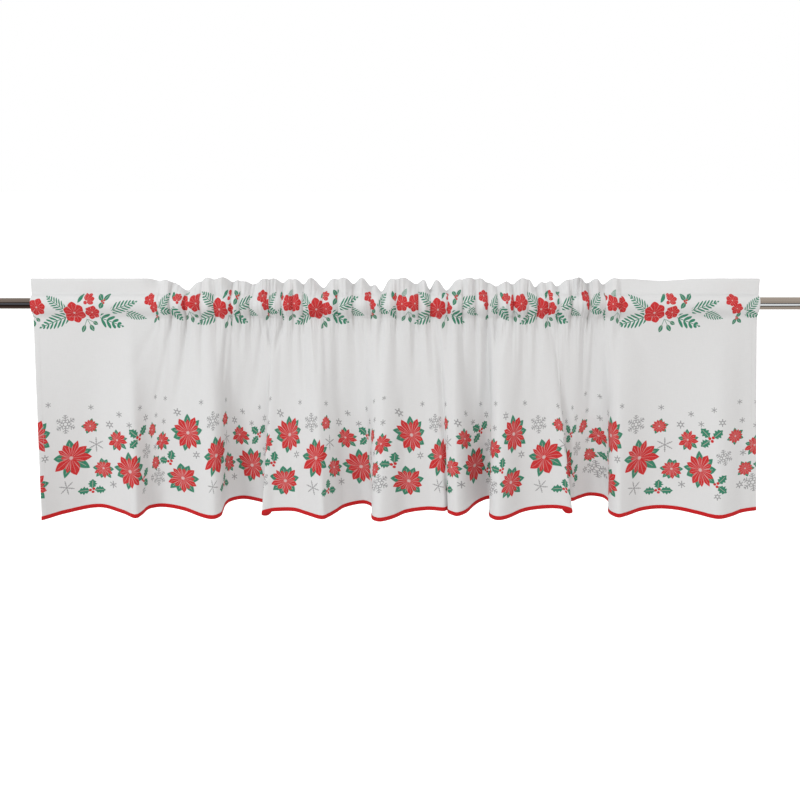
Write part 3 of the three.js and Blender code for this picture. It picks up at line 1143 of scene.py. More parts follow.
    # Where the frill lops over backwards: (place along the rod, half width, loss of height).
    frill_dips: tuple[tuple[float, float, float], ...] = (
        (-450, 11, 5), (-401, 20, 24), (-313, 8, 7), (-285, 14, 8), (-268, 10, 10), (-220, 10, 9),
        (-182, 8, 12), (-144, 12, 19), (-87, 9, 11), (-56, 8, 14), (-35, 10, 26), (28, 12, 12),
        (56, 6, 22), (88, 13, 24), (181, 18, 16), (213, 9, 10), (254, 8, 18), (271, 6, 9),
        (296, 12, 16), (351, 10, 10), (382, 10, 12), (490, 45, 6),
    )
    # Creases: (u and v of the upper end, u and v of the lower end, half width, depth).
    creases: tuple[tuple[float, float, float, float, float, float], ...] = (
        (234, 372, 150, 235, 6, 1.2), (274, 372, 246, 225, 6, 1.6), (321, 380, 300, 225, 6, 2.2),
        (350, 380, 340, 240, 7, -1.4), (437, 384, 408, 236, 7, 2.4), (500, 380, 470, 240, 9, -1.6),
        (562, 386, 520, 225, 8, 3.2), (570, 382, 598, 322, 5, 2.4), (634, 382, 612, 318, 5, 2.4),
        (695, 382, 712, 225, 7, 2.2), (734, 384, 736, 250, 8, -1.4), (767, 382, 758, 225, 7, -2.2),
        (800, 384, 806, 225, 7, 1.6), (881, 386, 881, 225, 8, 3.2), (930, 386, 926, 250, 7, 1.2),
        (975, 386, 972, 250, 7, 1.4), (1023, 386, 1018, 285, 5, 2.8), (1046, 386, 1050, 270, 6, -1.2),
        (1080, 384, 1094, 225, 7, 2.4), (1140, 384, 1142, 240, 8, -1.4),
        (1222, 384, 1210, 220, 6, -2.2), (1249, 384, 1233, 220, 9, 3.8),
        (1272, 386, 1285, 330, 5, 2.6), (1308, 386, 1296, 330, 5, 2.6),
        (1335, 386, 1334, 240, 7, -1.2), (1364, 384, 1361, 250, 6, 1.8), (1406, 384, 1397, 248, 6, 2.0),
        (1455, 386, 1460, 310, 5, 2.4), (1471, 376, 1457, 205, 7, 2.2), (1520, 384, 1524, 260, 8, -1.2),
        (1569, 384, 1576, 222, 7, 2.2), (1611, 387, 1597, 200, 8, 3.8), (1640, 376, 1645, 205, 7, -2.2),
        (1680, 384, 1690, 250, 9, 1.4), (1712, 384, 1760, 270, 9, 1.2),
    )

    def head_x(self, u: Array) -> Array:
        """Where a place of the flat cloth sits along the rod."""
        stops = np.array(self.head_stops, float)
        return np.interp(u, stops[:, 0], stops[:, 1])

    def head_u(self, x: Union[float, Sequence[float], Array]) -> Array:
        """Which place of the flat cloth sits at a place along the rod."""
        stops = np.array(self.head_stops, float)
        return np.interp(x, stops[:, 1], stops[:, 0])

    def gather(self, u: Array) -> Array:
        """Depth of the gathers in front of the rod, from one tuck to the next.

        Args:
            u: places across the flat cloth.

        Returns:
            Depths in mm.
        """
        places = self.head_u(self.tucks)
        index = np.clip(np.searchsorted(places, u, side="right") - 1, 0, len(places) - 2)
        share = (u - places[index]) / (places[index + 1] - places[index])
        gaps = np.diff(np.array(self.tucks, float))[index]
        depth = np.minimum(self.gather_share * gaps, self.gather_most)
        inside = (share >= 0) & (share <= 1)
        return np.where(inside, depth * np.sin(np.pi * np.clip(share, 0, 1)) ** 1.3, 0.0)

    def fullness(self, u: Array) -> Array:
        """How much of the cloth is taken up in gathers, 0 on the flat ends and 1 in the middle.

        Args:
            u: places across the flat cloth.

        Returns:
            Shares of the full gathers.
        """
        first, last = self.head_u([self.tucks[0], self.tucks[-1]])
        within = self.full_within
        start = np.clip((u - first + within) / (2 * within), 0, 1)
        end = np.clip((last + within - u) / (2 * within), 0, 1)
        return start * end

    def ruffle(self, u: Array) -> Array:
        """The fine pleats that the gathering thread draws up, from -1 to 1 at the most.

        Args:
            u: places across the flat cloth.

        Returns:
            The wave at each place.
        """
        broad = 2 * np.pi * (u / 19.0 + 0.9 * np.sin(u / 31.0))
        fine = 2 * np.pi * (u / 11.7 + 0.7 * np.sin(u / 53.0) + 0.3)
        strength = 0.6 + 0.4 * np.sin(u / 41.0 + 1.0)
        wave = 0.50 * np.sin(broad) + 0.18 * np.sin(2 * broad + 0.8) + 0.32 * np.sin(fine)
        return self.fullness(u) * strength * wave

    def on_print(self, u: Array, v: Array) -> tuple[Array, Array]:
        """Where a place lies on the print, which strays a little as the cloth is sewn and hung.

        Args:
            u: places across the flat cloth.
            v: heights above the lower edge.

        Returns:
            The places across the print and up it.
        """
        low = np.clip((self.border_top - v) / 40.0, 0, 1) * np.clip((v - 4.0) / 30.0, 0, 1)
        high = np.clip((v - self.garland_foot + 22.0) / 20.0, 0, 1) * self.fullness(u)
        drawn = np.clip((v - self.garland_foot) / 26.0, 0, 1)
        return (
            u + low * curve_through(self.print_strays, u, 1) + drawn * self.to_middle(u),
            v - low * curve_through(self.print_strays, u, 2) - high * self.garland_rise,
        )

    def to_middle(self, u: Array) -> Array:
        """How far the print is drawn to the middle between two tucks, which swallow the rest of it.

        Args:
            u: places across the flat cloth, one row for each face.

        Returns:
            Distances across the cloth.
        """
        places = self.head_u(self.tucks)
        gaps = np.diff(np.array(self.tucks, float))
        face = u.mean(axis=-1)
        index = np.clip(np.searchsorted(places, face, side="right") - 1, 0, len(gaps) - 1)
        inside = (face > places[0]) & (face < places[-1])
        hidden = 1 - gaps[index] / (places[index + 1] - places[index])
        middle = (places[index] + places[index + 1]) / 2
        return (middle[:, None] - u) * (hidden * self.swallowed * inside)[:, None]

    def tuck_shade_share(self, u: Array, v: Array) -> Array:
        """How deep a place lies in a tuck of the pocket or the frill, from 0 to 1, as the share of the
        painted shade that darkens it there.

        Args:
            u: places across the flat cloth.
            v: heights above the lower edge.

        Returns:
            Shares of the deepest tuck's painted shade.
        """
        x = self.head_x(u)
        away = np.abs(x[..., None] - np.array(self.tucks, float)).min(axis=-1)
        uneven = 0.65 + 0.35 * np.sin(x / 17.0 + 0.6)
        seam = self.drop + self.pocket_high - self.pocket_low
        below = np.clip((v - self.drop + self.tuck_shade_below) / 26, 0, 1)
        above = np.clip((seam + self.tuck_shade_above - v) / self.tuck_shade_above, 0, 1)
        return np.exp(-((away / self.tuck_shade_width) ** 2)) * below * above * uneven

    def seam(self, u: Array) -> Array:
        """How far the seams stand out towards the room."""
        return -self.seam_share * self.gather(u)

    def half_gap(self, u: Array) -> Array:
        """Half the distance between two plies, more where a side hem lies in between."""
        near = np.clip((self.hem_zone - np.minimum(u, self.width - u)) / 5.0, 0, 1)
        return self.ply + (self.hem_ply - self.ply) * near

    def front_ply(self, u: Array, s: Array) -> Array:
        """How far back the panel stands from the middle of the two plies at a share of the drop."""
        return -self.half_gap(u) * np.clip(1 - s / self.ply_fade, 0, 1)

    def crease(self, u: Array, v: Array) -> Array:
        """The creases: positive is away from the room.

        Args:
            u: places across the flat cloth.
            v: heights above the lower edge.

        Returns:
            Depths in mm.
        """
        total = np.zeros(np.broadcast(u, v).shape)
        for top_u, top_v, low_u, low_v, half, depth in self.creases:
            share = (top_v - v) / (top_v - low_v)
            centre = top_u + (low_u - top_u) * share
            fade = np.clip((share + 0.10) / 0.25, 0, 1) * np.clip((1.25 - share) / 0.6, 0, 1)
            fade = fade * fade * (3 - 2 * fade)
            total = total + depth * fade * 2.0 ** -(((u - centre) / (half * (1 + 0.5 * share))) ** 2)
        return total * self.crease_depth

    def panel(self, u: Array, v: Array) -> Array:
        """A point of the hanging panel.

        Args:
            u: places across the flat cloth.
            v: heights above the lower edge.

        Returns:
            Points in mm.
        """
        s = 1.0 - v / self.drop
        head = self.head_x(u)
        fold_x, fold_y = (curve_through(self.hem_folds, u, column) for column in (1, 2))
        lift = self.hem_ride * fold_y + fold_y**2 / (2 * self.drop)
        sag = sum(extra * 2.0 ** -(((u - at) / half) ** 2) for at, half, extra in self.hem_sags)
        fade = np.maximum(0, 1 - s / self.gather_fade) ** 1.5
        pleat = self.ruffle(u) * self.ruffle_depth * np.exp(-s * self.drop / self.ruffle_fade)
        standing = self.seam(u) * fade + pleat + self.front_ply(u, s)
        return np.stack([
            head + s * (fold_x - head),
            fold_y * s**self.fold_growth + standing + self.crease(u, v),
            self.pocket_low - s * (self.drop - lift) - s**3 * sag,
        ], axis=-1)

    def pocket(self, u: Array, angle: Array, ply: Side) -> Array:
        """A point of the pocket.

        Args:
            u: places across the flat cloth.
            angle: directions from the rod's axis, from the lower seam to the upper one.
            ply: whether it is in front of the rod or behind it.

        Returns:
            Points in mm.
        """
        side = ply.value
        around, rise = np.cos(angle), np.sin(angle)
        pinched = 1 - around
        belly = self.pocket_depth + self.gather(u) * 0.8
        belly = belly + 0.9 * self.ruffle_depth * (side * self.ruffle(u) + self.fullness(u))
        y = side * belly * around + (self.seam(u) + self.ruffle_depth * self.ruffle(u)) * pinched
        z = np.where(rise < 0, -self.pocket_low * angle / (np.pi / 2), self.pocket_high * rise)
        return np.stack([
            self.head_x(u) + 0 * angle,
            y + side * self.half_gap(u) * pinched,
            z + 0 * u,
        ], axis=-1)

    def frill(self, u: Array, h: Array, ply: Side) -> Array:
        """A point of the standing frill; h is 0 at the seam and 1 at the top.

        Args:
            u: places across the flat cloth.
            h: shares of its height.
            ply: the front one or the back one.

        Returns:
            Points in mm.
        """
        x = self.head_x(u)
        loss = sum(drop * 2.0 ** -(((x - at) / half) ** 2) for at, half, drop in self.frill_dips)
        upright = np.maximum(0.05, 1 - loss / self.frill_height)
        leaning = np.sqrt(1 - upright**2)
        tall = self.frill_height * h
        loops = self.fullness(u) * (0.014 * self.gather(u) - 0.06)
        ruffle = self.ruffle_depth * self.ruffle(u) * (1 + 0.9 * h)
        foot = self.seam(u) * (1 + self.frill_ruffle * h)
        apart = ply.value * (self.half_gap(u) + 0.7 * h * (1 - h))
        return np.stack([
            x + 0 * h,
            foot + tall * leaning + ruffle + apart * upright,
            self.pocket_high + tall * (upright + loops) - apart * leaning,
        ], axis=-1)


# ---- Meshes ---------------------------------------------------------------------------------------


def add_piece(name: str, mesh: bpy.types.Mesh) -> bpy.types.Object:
    """Puts a mesh into the scene under a name."""
    piece = bpy.data.objects.new(name, mesh)
    bpy.context.scene.collection.objects.link(piece)
    return piece


def grid_mesh(
    name: str, points: Array, across: Array, heights: Array, uv_map: str, flipped: bool = False
) -> tuple[bpy.types.Mesh, Array, Array]:
    """Makes a grid of points a smooth mesh, with its flat measure in metres as its UV map.

    Args:
        name: the mesh's name.
        points: the points in mm, row by row.
        across: each column's flat measure in mm.
        heights: each row's flat measure in mm.
        uv_map: the UV map's name.
        flipped: whether the faces look the other way.

    Returns:
        The mesh, and the flat measures of its corners, four for each face.
    """
    tall, wide = points.shape[:2]
    index = np.arange(tall * wide).reshape(tall, wide)
    corners = [index[:-1, :-1], index[:-1, 1:], index[1:, 1:], index[1:, :-1]]
    if flipped:
        corners = [corners[0], *reversed(corners[1:])]
    faces = np.stack(corners, axis=-1).reshape(-1, 4)
    mesh = bpy.data.meshes.new(name)
    mesh.from_pydata((points.reshape(-1, 3) * MM).tolist(), [], faces.tolist())
    u = np.broadcast_to(across[None, :], (tall, wide)).reshape(-1)[faces]
    v = np.broadcast_to(heights[:, None], (tall, wide)).reshape(-1)[faces]
    layer = mesh.uv_layers.new(name=uv_map)
    layer.data.foreach_set("uv", (np.stack([u, v], axis=-1) * MM).reshape(-1))
    smooth(mesh)
    mesh.update()
    return mesh, u, v


def smooth(mesh: bpy.types.Mesh) -> None:
    """Shades all of a mesh's faces smooth."""
    mesh.polygons.foreach_set("use_smooth", [True] * len(mesh.polygons))


def make_plain(piece: bpy.types.Object) -> None:
    """Turns a piece's evaluated mesh into its own plain mesh and removes its modifiers.

    Args:
        piece: the piece, whose modifiers are live.
    """
    graph = bpy.context.evaluated_depsgraph_get()
    mesh = bpy.data.meshes.new_from_object(piece.evaluated_get(graph), depsgraph=graph)
    piece.modifiers.clear()
    piece.data = mesh


def thicken(piece: bpy.types.Object, thickness: float, reverse: int = 0) -> None:
    """Gives a sheet its thickness.

    Args:
        piece: the sheet.
        thickness: in mm, half of it to each side.
        reverse: how many materials further on the one of its reverse is.
    """
    modifier = piece.modifiers.new("thickness", "SOLIDIFY")
    modifier.thickness = thickness * MM
    modifier.offset = 0.0
    modifier.material_offset = reverse
    make_plain(piece)


# ---- The cloth ------------------------------------------------------------------------------------


class Zone(Enum):
    """The stretches of the cloth from its lower edge up the front and down the back."""

    PANEL = "panel"
    POCKET_FRONT = "pocket_front"
    FRILL_FRONT = "frill_front"
    FRILL_TOP = "frill_top"
    FRILL_BACK = "frill_back"
    POCKET_BACK = "pocket_back"
    TURN_IN = "turn_in"


@dataclass
class ValanceCloth:
    """The printed panel with its side hems, rod pocket and standing frill, as one sheet of cotton."""

    plan: FoldPlan
    charts: tuple[PrintChart, ...]
    finish: PrintedCotton = PrintedCotton()
    thickness: float = 0.5       # mm
    hem: float = 10.0            # mm turned back at each side
    hem_gap: float = 0.72        # mm from a ply's middle to the turned one's middle
    turn_in: float = 9.0         # mm of the back ply below the lower seam
    flat_step: float = 6.4       # mm between two columns of the mesh on the flat ends
    gathered_step: float = 2.9   # and in the gathers
    gather_margin: float = 20.0  # mm past the outermost tucks that have close columns as well
    print_top: float = 238.0     # mm up to which the border's print needs close rows
    plain_top: float = 340.0     # mm up to which the cloth is plain and almost flat
    fold_over: float = 1.6       # mm of cloth over the frill's top
    reverse_ink: float = 0.16    # how strongly the print shows through on the reverse
    edge_round: float = 0.5      # mm that a side hem's fold stands out sideways
    top_round: float = 0.45      # mm that the frill's fold stands up
    stitch_lift: float = 0.10    # mm from the cloth's face to the middle of a stitch
    stitch_inset: float = 1.0    # mm from a side hem's edge on the back to its stitches

    def columns(self) -> Array:
        """Places of the mesh's columns across the front, closer together where it is gathered.

        Returns:
            Places across the flat cloth in mm.
        """
        plan = self.plan
        first, last = plan.head_u([plan.tucks[0], plan.tucks[-1]])
        hem_stops = [0.5, 3.0, 6.5, self.hem - 0.6, self.hem + 0.6]
        left = hem_stops[-1]
        start_gathers, end_gathers = first - self.gather_margin, last + self.gather_margin
        spans = [
            (left, start_gathers, self.flat_step),
            (start_gathers, end_gathers, self.gathered_step),
            (end_gathers, plan.width - left, self.flat_step),
        ]
        places = list(hem_stops)
        for start, end, step in spans:
            count = max(1, round((end - start) / step))
            places += [start + (end - start) * k / count for k in range(1, count + 1)]
        places += [plan.width - stop for stop in reversed(hem_stops[:-1])]
        return np.array(places)

    def rows(self) -> list[tuple[Zone, float, float]]:
        """The mesh's rows from the lower edge up the front and down the back.

        Returns:
            For each row, which zone it belongs to, its place there, and its height v on the cloth.
        """
        plan = self.plan
        rows: list[tuple[Zone, float, float]] = []
        stops = (0.0, self.print_top, self.plain_top, plan.drop)
        for start, end, count in zip(stops, stops[1:], (37, 8, 7)):
            rows += [(Zone.PANEL, v, v) for v in np.linspace(start, end, count, endpoint=False)]
        pocket_tall = plan.pocket_high - plan.pocket_low
        self.pocket_row = len(rows)
        for angle in np.radians(np.linspace(-90, 90, 10))[:-1]:
            rise = math.sin(angle)
            z = -plan.pocket_low * angle / (math.pi / 2) if rise < 0 else plan.pocket_high * rise
            rows.append((Zone.POCKET_FRONT, angle, plan.drop + z - plan.pocket_low))
        seam_v = plan.drop + pocket_tall
        self.seam_row = len(rows)
        top_v = seam_v + plan.frill_height
        for h in np.linspace(0, 1, 6):
            rows.append((Zone.FRILL_FRONT, h, seam_v + plan.frill_height * h))
        rows.append((Zone.FRILL_TOP, 1.0, top_v + self.fold_over / 2))
        for h in np.linspace(1, 0, 5):
            rows.append((Zone.FRILL_BACK, h, top_v + self.fold_over + plan.frill_height * (1 - h)))
        back_v = top_v + self.fold_over + plan.frill_height
        for angle in np.radians(np.linspace(90, -90, 7))[1:]:
            share = (90 - math.degrees(angle)) / 180
            rows.append((Zone.POCKET_BACK, angle, back_v + pocket_tall * share))
        end_v = back_v + pocket_tall
        for share in (0.5, 1.0):
            rows.append((Zone.TURN_IN, share * self.turn_in, end_v + share * self.turn_in))
        return rows

    def place(self, zone: Zone, u: Array, at: float) -> Array:
        """Points of one row.

        Args:
            zone: the row's zone.
            u: the columns' places.
            at: the row's place in its zone.

        Returns:
            Points in mm.
        """
        plan = self.plan
        flat = np.zeros_like(u)
        if zone is Zone.PANEL:
            return plan.panel(u, flat + at)
        if zone in (Zone.POCKET_FRONT, Zone.POCKET_BACK):
            ply = Side.FRONT if zone is Zone.POCKET_FRONT else Side.BACK
            return plan.pocket(u, flat + at, ply)
        if zone in (Zone.FRILL_FRONT, Zone.FRILL_BACK):
            ply = Side.FRONT if zone is Zone.FRILL_FRONT else Side.BACK
            return plan.frill(u, flat + at, ply)
        if zone is Zone.FRILL_TOP:
            middle = (plan.frill(u, flat + 1, Side.FRONT) + plan.frill(u, flat + 1, Side.BACK)) / 2
            return middle + np.array([0.0, 0.0, self.top_round])
        behind = plan.panel(u, flat + plan.drop - at)
        behind[:, 1] += plan.half_gap(u) - plan.front_ply(u, at / plan.drop)
        return behind

    def build(self) -> bpy.types.Object:
        """Builds the cloth.

        Returns:
            The finished piece, as a closed mesh with its own thickness.
        """
        front = self.columns()
        rows = self.rows()
        grid = np.stack([self.place(zone, front, at) for zone, at, _ in rows])
        outward = self._outward(grid)
        left = front <= self.hem
        right = front >= self.plan.width - self.hem
        turned = grid - outward * self.hem_gap
        edge_left = self._edge(grid, outward, 0)
        edge_right = self._edge(grid, outward, -1)
        points = np.concatenate([
            turned[:, left][:, ::-1], edge_left, grid, edge_right, turned[:, right][:, ::-1],
        ], axis=1)
        across = np.concatenate([
            -front[left][::-1], [0.0], front, [self.plan.width],
            2 * self.plan.width - front[right][::-1],
        ])
        self.first_column = int(left.sum()) + 1
        self.front_columns = front
        self.points, self.normals = points, self._outward(points)
        heights = np.array([v for _, _, v in rows])
        piece = self._printed(points, across, heights)
        thicken(piece, self.thickness, reverse=1)
        return piece

    @staticmethod
    def _outward(grid: Array) -> Array:
        """The printed side's direction at each point of a grid.

        Args:
            grid: points, row by row.

        Returns:
            Directions of length 1.
        """
        along = np.gradient(grid, axis=1)
        up = np.gradient(grid, axis=0)
        normal = np.cross(along, up)
        return normal / np.linalg.norm(normal, axis=-1, keepdims=True)

    def _edge(self, grid: Array, outward: Array, column: int) -> Array:
        """The rounded edge of a side hem, one column of points.

        Args:
            grid: the front's points.
            outward: its directions.
            column: 0 at the left or -1 at the right.

        Returns:
            One point for each row.
        """
        inner = grid[:, 1] if column == 0 else grid[:, -2]
        sideways = grid[:, column] - inner
        sideways /= np.linalg.norm(sideways, axis=-1, keepdims=True)
        edge = grid[:, column] + sideways * self.edge_round - outward[:, column] * self.hem_gap / 2
        return edge[:, None]

    def _printed(self, points: Array, across: Array, heights: Array) -> bpy.types.Object:
        """Makes the grid a mesh with its flat measure, its motif marks, its painted tuck shade and its
        two sides' finishes.

        Args:
            points: the points in mm, row by row.
            across: the columns' flat measure.
            heights: the rows' flat measure.

        Returns:
            The cloth, still without a thickness.
        """
        mesh, u, v = grid_mesh("valance_cotton", points, across, heights, "flat_cloth")
        print_u, print_v = self.plan.on_print(u, v)
        for chart in self.charts:
            for number, label in enumerate(chart.group.names()):
                marks = mesh.attributes.new(label, "FLOAT_VECTOR", "CORNER")
                values = chart.marks(number, print_u, print_v)
                marks.data.foreach_set("vector", values.reshape(-1))
        # Painted shade: the "tuck" attribute tells the shader how much the tucks' shadow darkens each
        # corner.
        tucks = mesh.attributes.new("tuck", "FLOAT", "CORNER")
        tucks.data.foreach_set("value", self.plan.tuck_shade_share(u, v).reshape(-1))
        mesh.update()
        mesh.materials.append(self.finish.build("printed_cotton_front", 1.0))
        mesh.materials.append(self.finish.build("printed_cotton_reverse", self.reverse_ink))
        return add_piece("valance_cotton", mesh)

    def row_line(self, row: int, lift: float) -> Array:
        """A line along a row of the front, standing a little off the cloth."""
        span = slice(self.first_column, self.first_column + len(self.front_columns))
        return self.points[row, span] + self.normals[row, span] * lift

    def column_line(self, u: float, lift: float) -> Array:
        """A line up the panel's front at a place across the cloth."""
        column = self.first_column + int(np.argmin(np.abs(self.front_columns - u)))
        return self.points[: self.pocket_row, column] + self.normals[: self.pocket_row, column] * lift


@dataclass
class HemBinding:
    """The red tape folded round the lower edge."""

    cloth: ValanceCloth
    face: float = 7.0            # mm that shows in front
    gap: float = 0.62            # mm from the cloth's middle to the tape's middle
    thickness: float = 0.36
    overhang: float = 1.0        # mm of the fold below the cloth's edge
    pucker: float = 0.10         # mm that its stitches draw it in and let it out
    pucker_length: float = 9.0   # mm from one pucker to the next

    def section(self) -> list[tuple[float, float]]:
        """The tape's section: (distance in front of the cloth, height above its edge).

        Returns:
            Points of the section, from the front over the fold to the back.
        """
        front = [(self.gap - 0.22, self.face), (self.gap, self.face - 0.8), (self.gap + 0.10, 4.6)]
        front += [(self.gap + 0.12, 2.4), (self.gap + 0.10, 0.6)]
        fold = [(self.gap * 0.75, -self.overhang * 0.75), (0.0, -self.overhang)]
        back = [(-across, height) for across, height in reversed(front)]
        return front + fold + [(-fold[0][0], fold[0][1])] + back

    def build(self) -> bpy.types.Object:
        """Builds the tape.

        Returns:
            The finished piece.
        """
        cloth = self.cloth
        wide = slice(cloth.first_column - 1, cloth.first_column + len(cloth.front_columns) + 1)
        edge, above = cloth.points[0, wide].copy(), cloth.points[1, wide]
        out = cloth.normals[0, wide]
        columns = np.concatenate([[0.0], cloth.front_columns, [cloth.plan.width]])
        on_hem = cloth.plan.half_gap(columns) > (cloth.plan.ply + cloth.plan.hem_ply) / 2
        hem_half = np.where(on_hem, cloth.hem_gap, 0.0)
        edge = edge - out * (hem_half / 2)[:, None]
        up = above - cloth.points[0, wide]
        up /= np.linalg.norm(up, axis=-1, keepdims=True)
        uneven = 1.5 * np.sin(columns / 37.0)
        pucker = self.pucker * np.sin(2 * np.pi * columns / self.pucker_length + uneven)
        rows = []
        for across, height in self.section():
            sign = math.copysign(1.0, across) if across else 0.0
            push = across + sign * hem_half / 2 + sign * pucker * (0.3 < height)
            rows.append(edge + out * np.reshape(push, (-1, 1)) + up * height)
        points = np.stack(rows)
        steps = np.linalg.norm(np.diff(points[:, points.shape[1] // 2], axis=0), axis=-1)
        heights = np.concatenate([[0.0], np.cumsum(steps)])
        mesh, _, _ = grid_mesh("hem_tape", points, columns, heights, "along_tape", flipped=True)
        mesh.materials.append(RedTape().build())
        piece = add_piece("hem_tape", mesh)
        thicken(piece, self.thickness)
        return piece


# ---- Stitches -------------------------------------------------------------------------------------


@dataclass
class StitchRows:
    """Machine stitches along lines on the cloth, laid by a node tree."""

    name: str
    thread: bpy.types.Material
    length: float = 2.3          # mm of thread that shows in each stitch
    pitch: float = 2.9           # mm from a stitch to the next
    thickness: float = 0.42      # mm
    bead: tuple[int, int] = (5, 4)    # a stitch's faces round it and along it

    def tree(self) -> bpy.types.GeometryNodeTree:
        """Builds the node tree: a stitch at every pitch along the lines, turned to follow them.

        Returns:
            The tree, with the sizes as its inputs.
        """
        tree = bpy.data.node_groups.new(self.name, "GeometryNodeTree")
        sockets = tree.interface
        sockets.new_socket(name="Lines", in_out="INPUT", socket_type="NodeSocketGeometry")
        for label in ("Stitch length", "Pitch", "Thread thickness"):
            sockets.new_socket(name=label, in_out="INPUT", socket_type="NodeSocketFloat")
        sockets.new_socket(name="Stitches", in_out="OUTPUT", socket_type="NodeSocketGeometry")

        board = NodeBoard(tree)
        source = board.node("NodeGroupInput")
        thickness = source.outputs["Thread thickness"]
        curve = board.node("GeometryNodeMeshToCurve", None, {"Mesh": source.outputs["Lines"]})
        places = board.node(
            "GeometryNodeCurveToPoints", {"mode": "LENGTH"},
            {"Curve": curve.outputs[0], "Length": source.outputs["Pitch"]},
        )
        turned = board.node(
            "FunctionNodeAlignRotationToVector", {"axis": "Z"}, {"Vector": places.outputs["Tangent"]}
        )
        segments, rings = self.bead
        bead = board.node(
            "GeometryNodeMeshUVSphere", None, {"Segments": segments, "Rings": rings, "Radius": 0.5}
        )
        size = board.node("ShaderNodeCombineXYZ", None, {
            "X": thickness, "Y": thickness, "Z": source.outputs["Stitch length"],
        })
        laid = board.node("GeometryNodeInstanceOnPoints", None, {
            "Points": places.outputs["Points"], "Instance": bead.outputs["Mesh"],
            "Rotation": turned.outputs[0], "Scale": size.outputs[0],
        })
        real = board.node("GeometryNodeRealizeInstances", None, {0: laid.outputs[0]})
        dressed = board.node(
            "GeometryNodeSetMaterial", None, {"Geometry": real.outputs[0], "Material": self.thread}
        )
        board.node("NodeGroupOutput", None, {0: dressed.outputs[0]})
        return tree

    def build(self, lines: Sequence[Array]) -> bpy.types.Object:
        """Lays the stitches.

        Args:
            lines: the seams, as points in mm.

        Returns:
            The finished piece.
        """
        points: list[tuple[float, float, float]] = []
        edges: list[tuple[int, int]] = []
        for line in lines:
            start = len(points)
            points += [tuple(point) for point in line * MM]
            edges += [(start + k, start + k + 1) for k in range(len(line) - 1)]
        mesh = bpy.data.meshes.new(self.name)
        mesh.from_pydata(points, edges, [])
        piece = add_piece(self.name, mesh)
        tree = self.tree()
        modifier = piece.modifiers.new("stitches", "NODES")
        modifier.node_group = tree
        sizes = {
            "Stitch length": self.length, "Pitch": self.pitch, "Thread thickness": self.thickness,
        }
        for item in tree.interface.items_tree:
            if item.in_out == "INPUT" and item.name in sizes:
                modifier[item.identifier] = sizes[item.name] * MM
        make_plain(piece)
        smooth(piece.data)
        return piece


# ---- The rod --------------------------------------------------------------------------------------


class RodTube(Enum):
    """The rod's two tubes, by their CAD nodes."""

    NARROW = "rod_tube_narrow"
    WIDE = "rod_tube_wide"


@dataclass
class RodPiece:
    """One tube of the telescopic rod, with its rounded closed end and its open mouth."""

    tube: RodTube
    steel: RodSteel
    wall: float                  # mm
    sides: int = 96
    bevel: float = 0.7           # mm at the closed end
    lip: float = 0.3             # mm that the mouth's edge is rounded
    hard_edge: float = 50.0      # degrees between two faces from which their edge is sharp

    def build(self) -> bpy.types.Object:
        """Builds the tube in the space of its CAD node.

        Returns:
            The finished piece.
        """
        low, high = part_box(self.tube.value)
        radius = (high[2] - low[2]) / 2 / MM
        start, end = low[0] / MM, high[0] / MM
        closed, mouth = (start, end) if self.tube is RodTube.NARROW else (end, start)
        inward = math.copysign(1.0, mouth - closed)
        bevel, wall = self.bevel, self.wall
        profile = [
            (closed, 0.0), (closed, radius * 0.6), (closed, radius - bevel),
            (closed + inward * bevel * 0.3, radius - bevel * 0.3), (closed + inward * bevel, radius),
        ]
        length = mouth - closed
        profile += [(closed + length * share, radius) for share in (0.1, 0.3, 0.5, 0.7, 0.9)]
        profile += [
            (mouth - inward * self.lip, radius), (mouth, radius - wall * 0.3),
            (mouth, radius - wall * 0.7), (mouth - inward * self.lip, radius - wall),
            (mouth - length * 0.5, radius - wall),
            (closed + inward * wall, radius - wall), (closed + inward * wall, 0.0),
        ]
        return self._spin(f"{self.tube.value}_steel", profile)

    def _spin(self, name: str, profile: Sequence[tuple[float, float]]) -> bpy.types.Object:
        """Turns a profile round the rod's axis.

        Args:
            name: the piece's name.
            profile: places along the axis and radii in mm.

        Returns:
            The tube.
        """
        angles = np.arange(self.sides) * 2 * math.pi / self.sides
        points: list[tuple[float, float, float]] = []
        rings: list[list[int]] = []
        for x, radius in profile:
            start = len(points)
            if radius == 0.0:
                points.append((x * MM, 0.0, 0.0))
                rings.append([start] * self.sides)
                continue
            points += [(x * MM, radius * MM * math.cos(a), radius * MM * math.sin(a)) for a in angles]
            rings.append(list(range(start, start + self.sides)))
        faces = []
        for near, far in zip(rings, rings[1:]):
            for k in range(self.sides):
                m = (k + 1) % self.sides
                corners = list(dict.fromkeys([near[k], near[m], far[m], far[k]]))
                faces.append(corners if self.tube is RodTube.WIDE else corners[::-1])
        mesh = bpy.data.meshes.new(name)
        mesh.from_pydata(points, [], faces)
        mesh.materials.append(self.steel.build())
        smooth(mesh)
        mesh.set_sharp_from_angle(angle=math.radians(self.hard_edge))
        return add_piece(name, mesh)


# ---- Studio ---------------------------------------------------------------------------------------


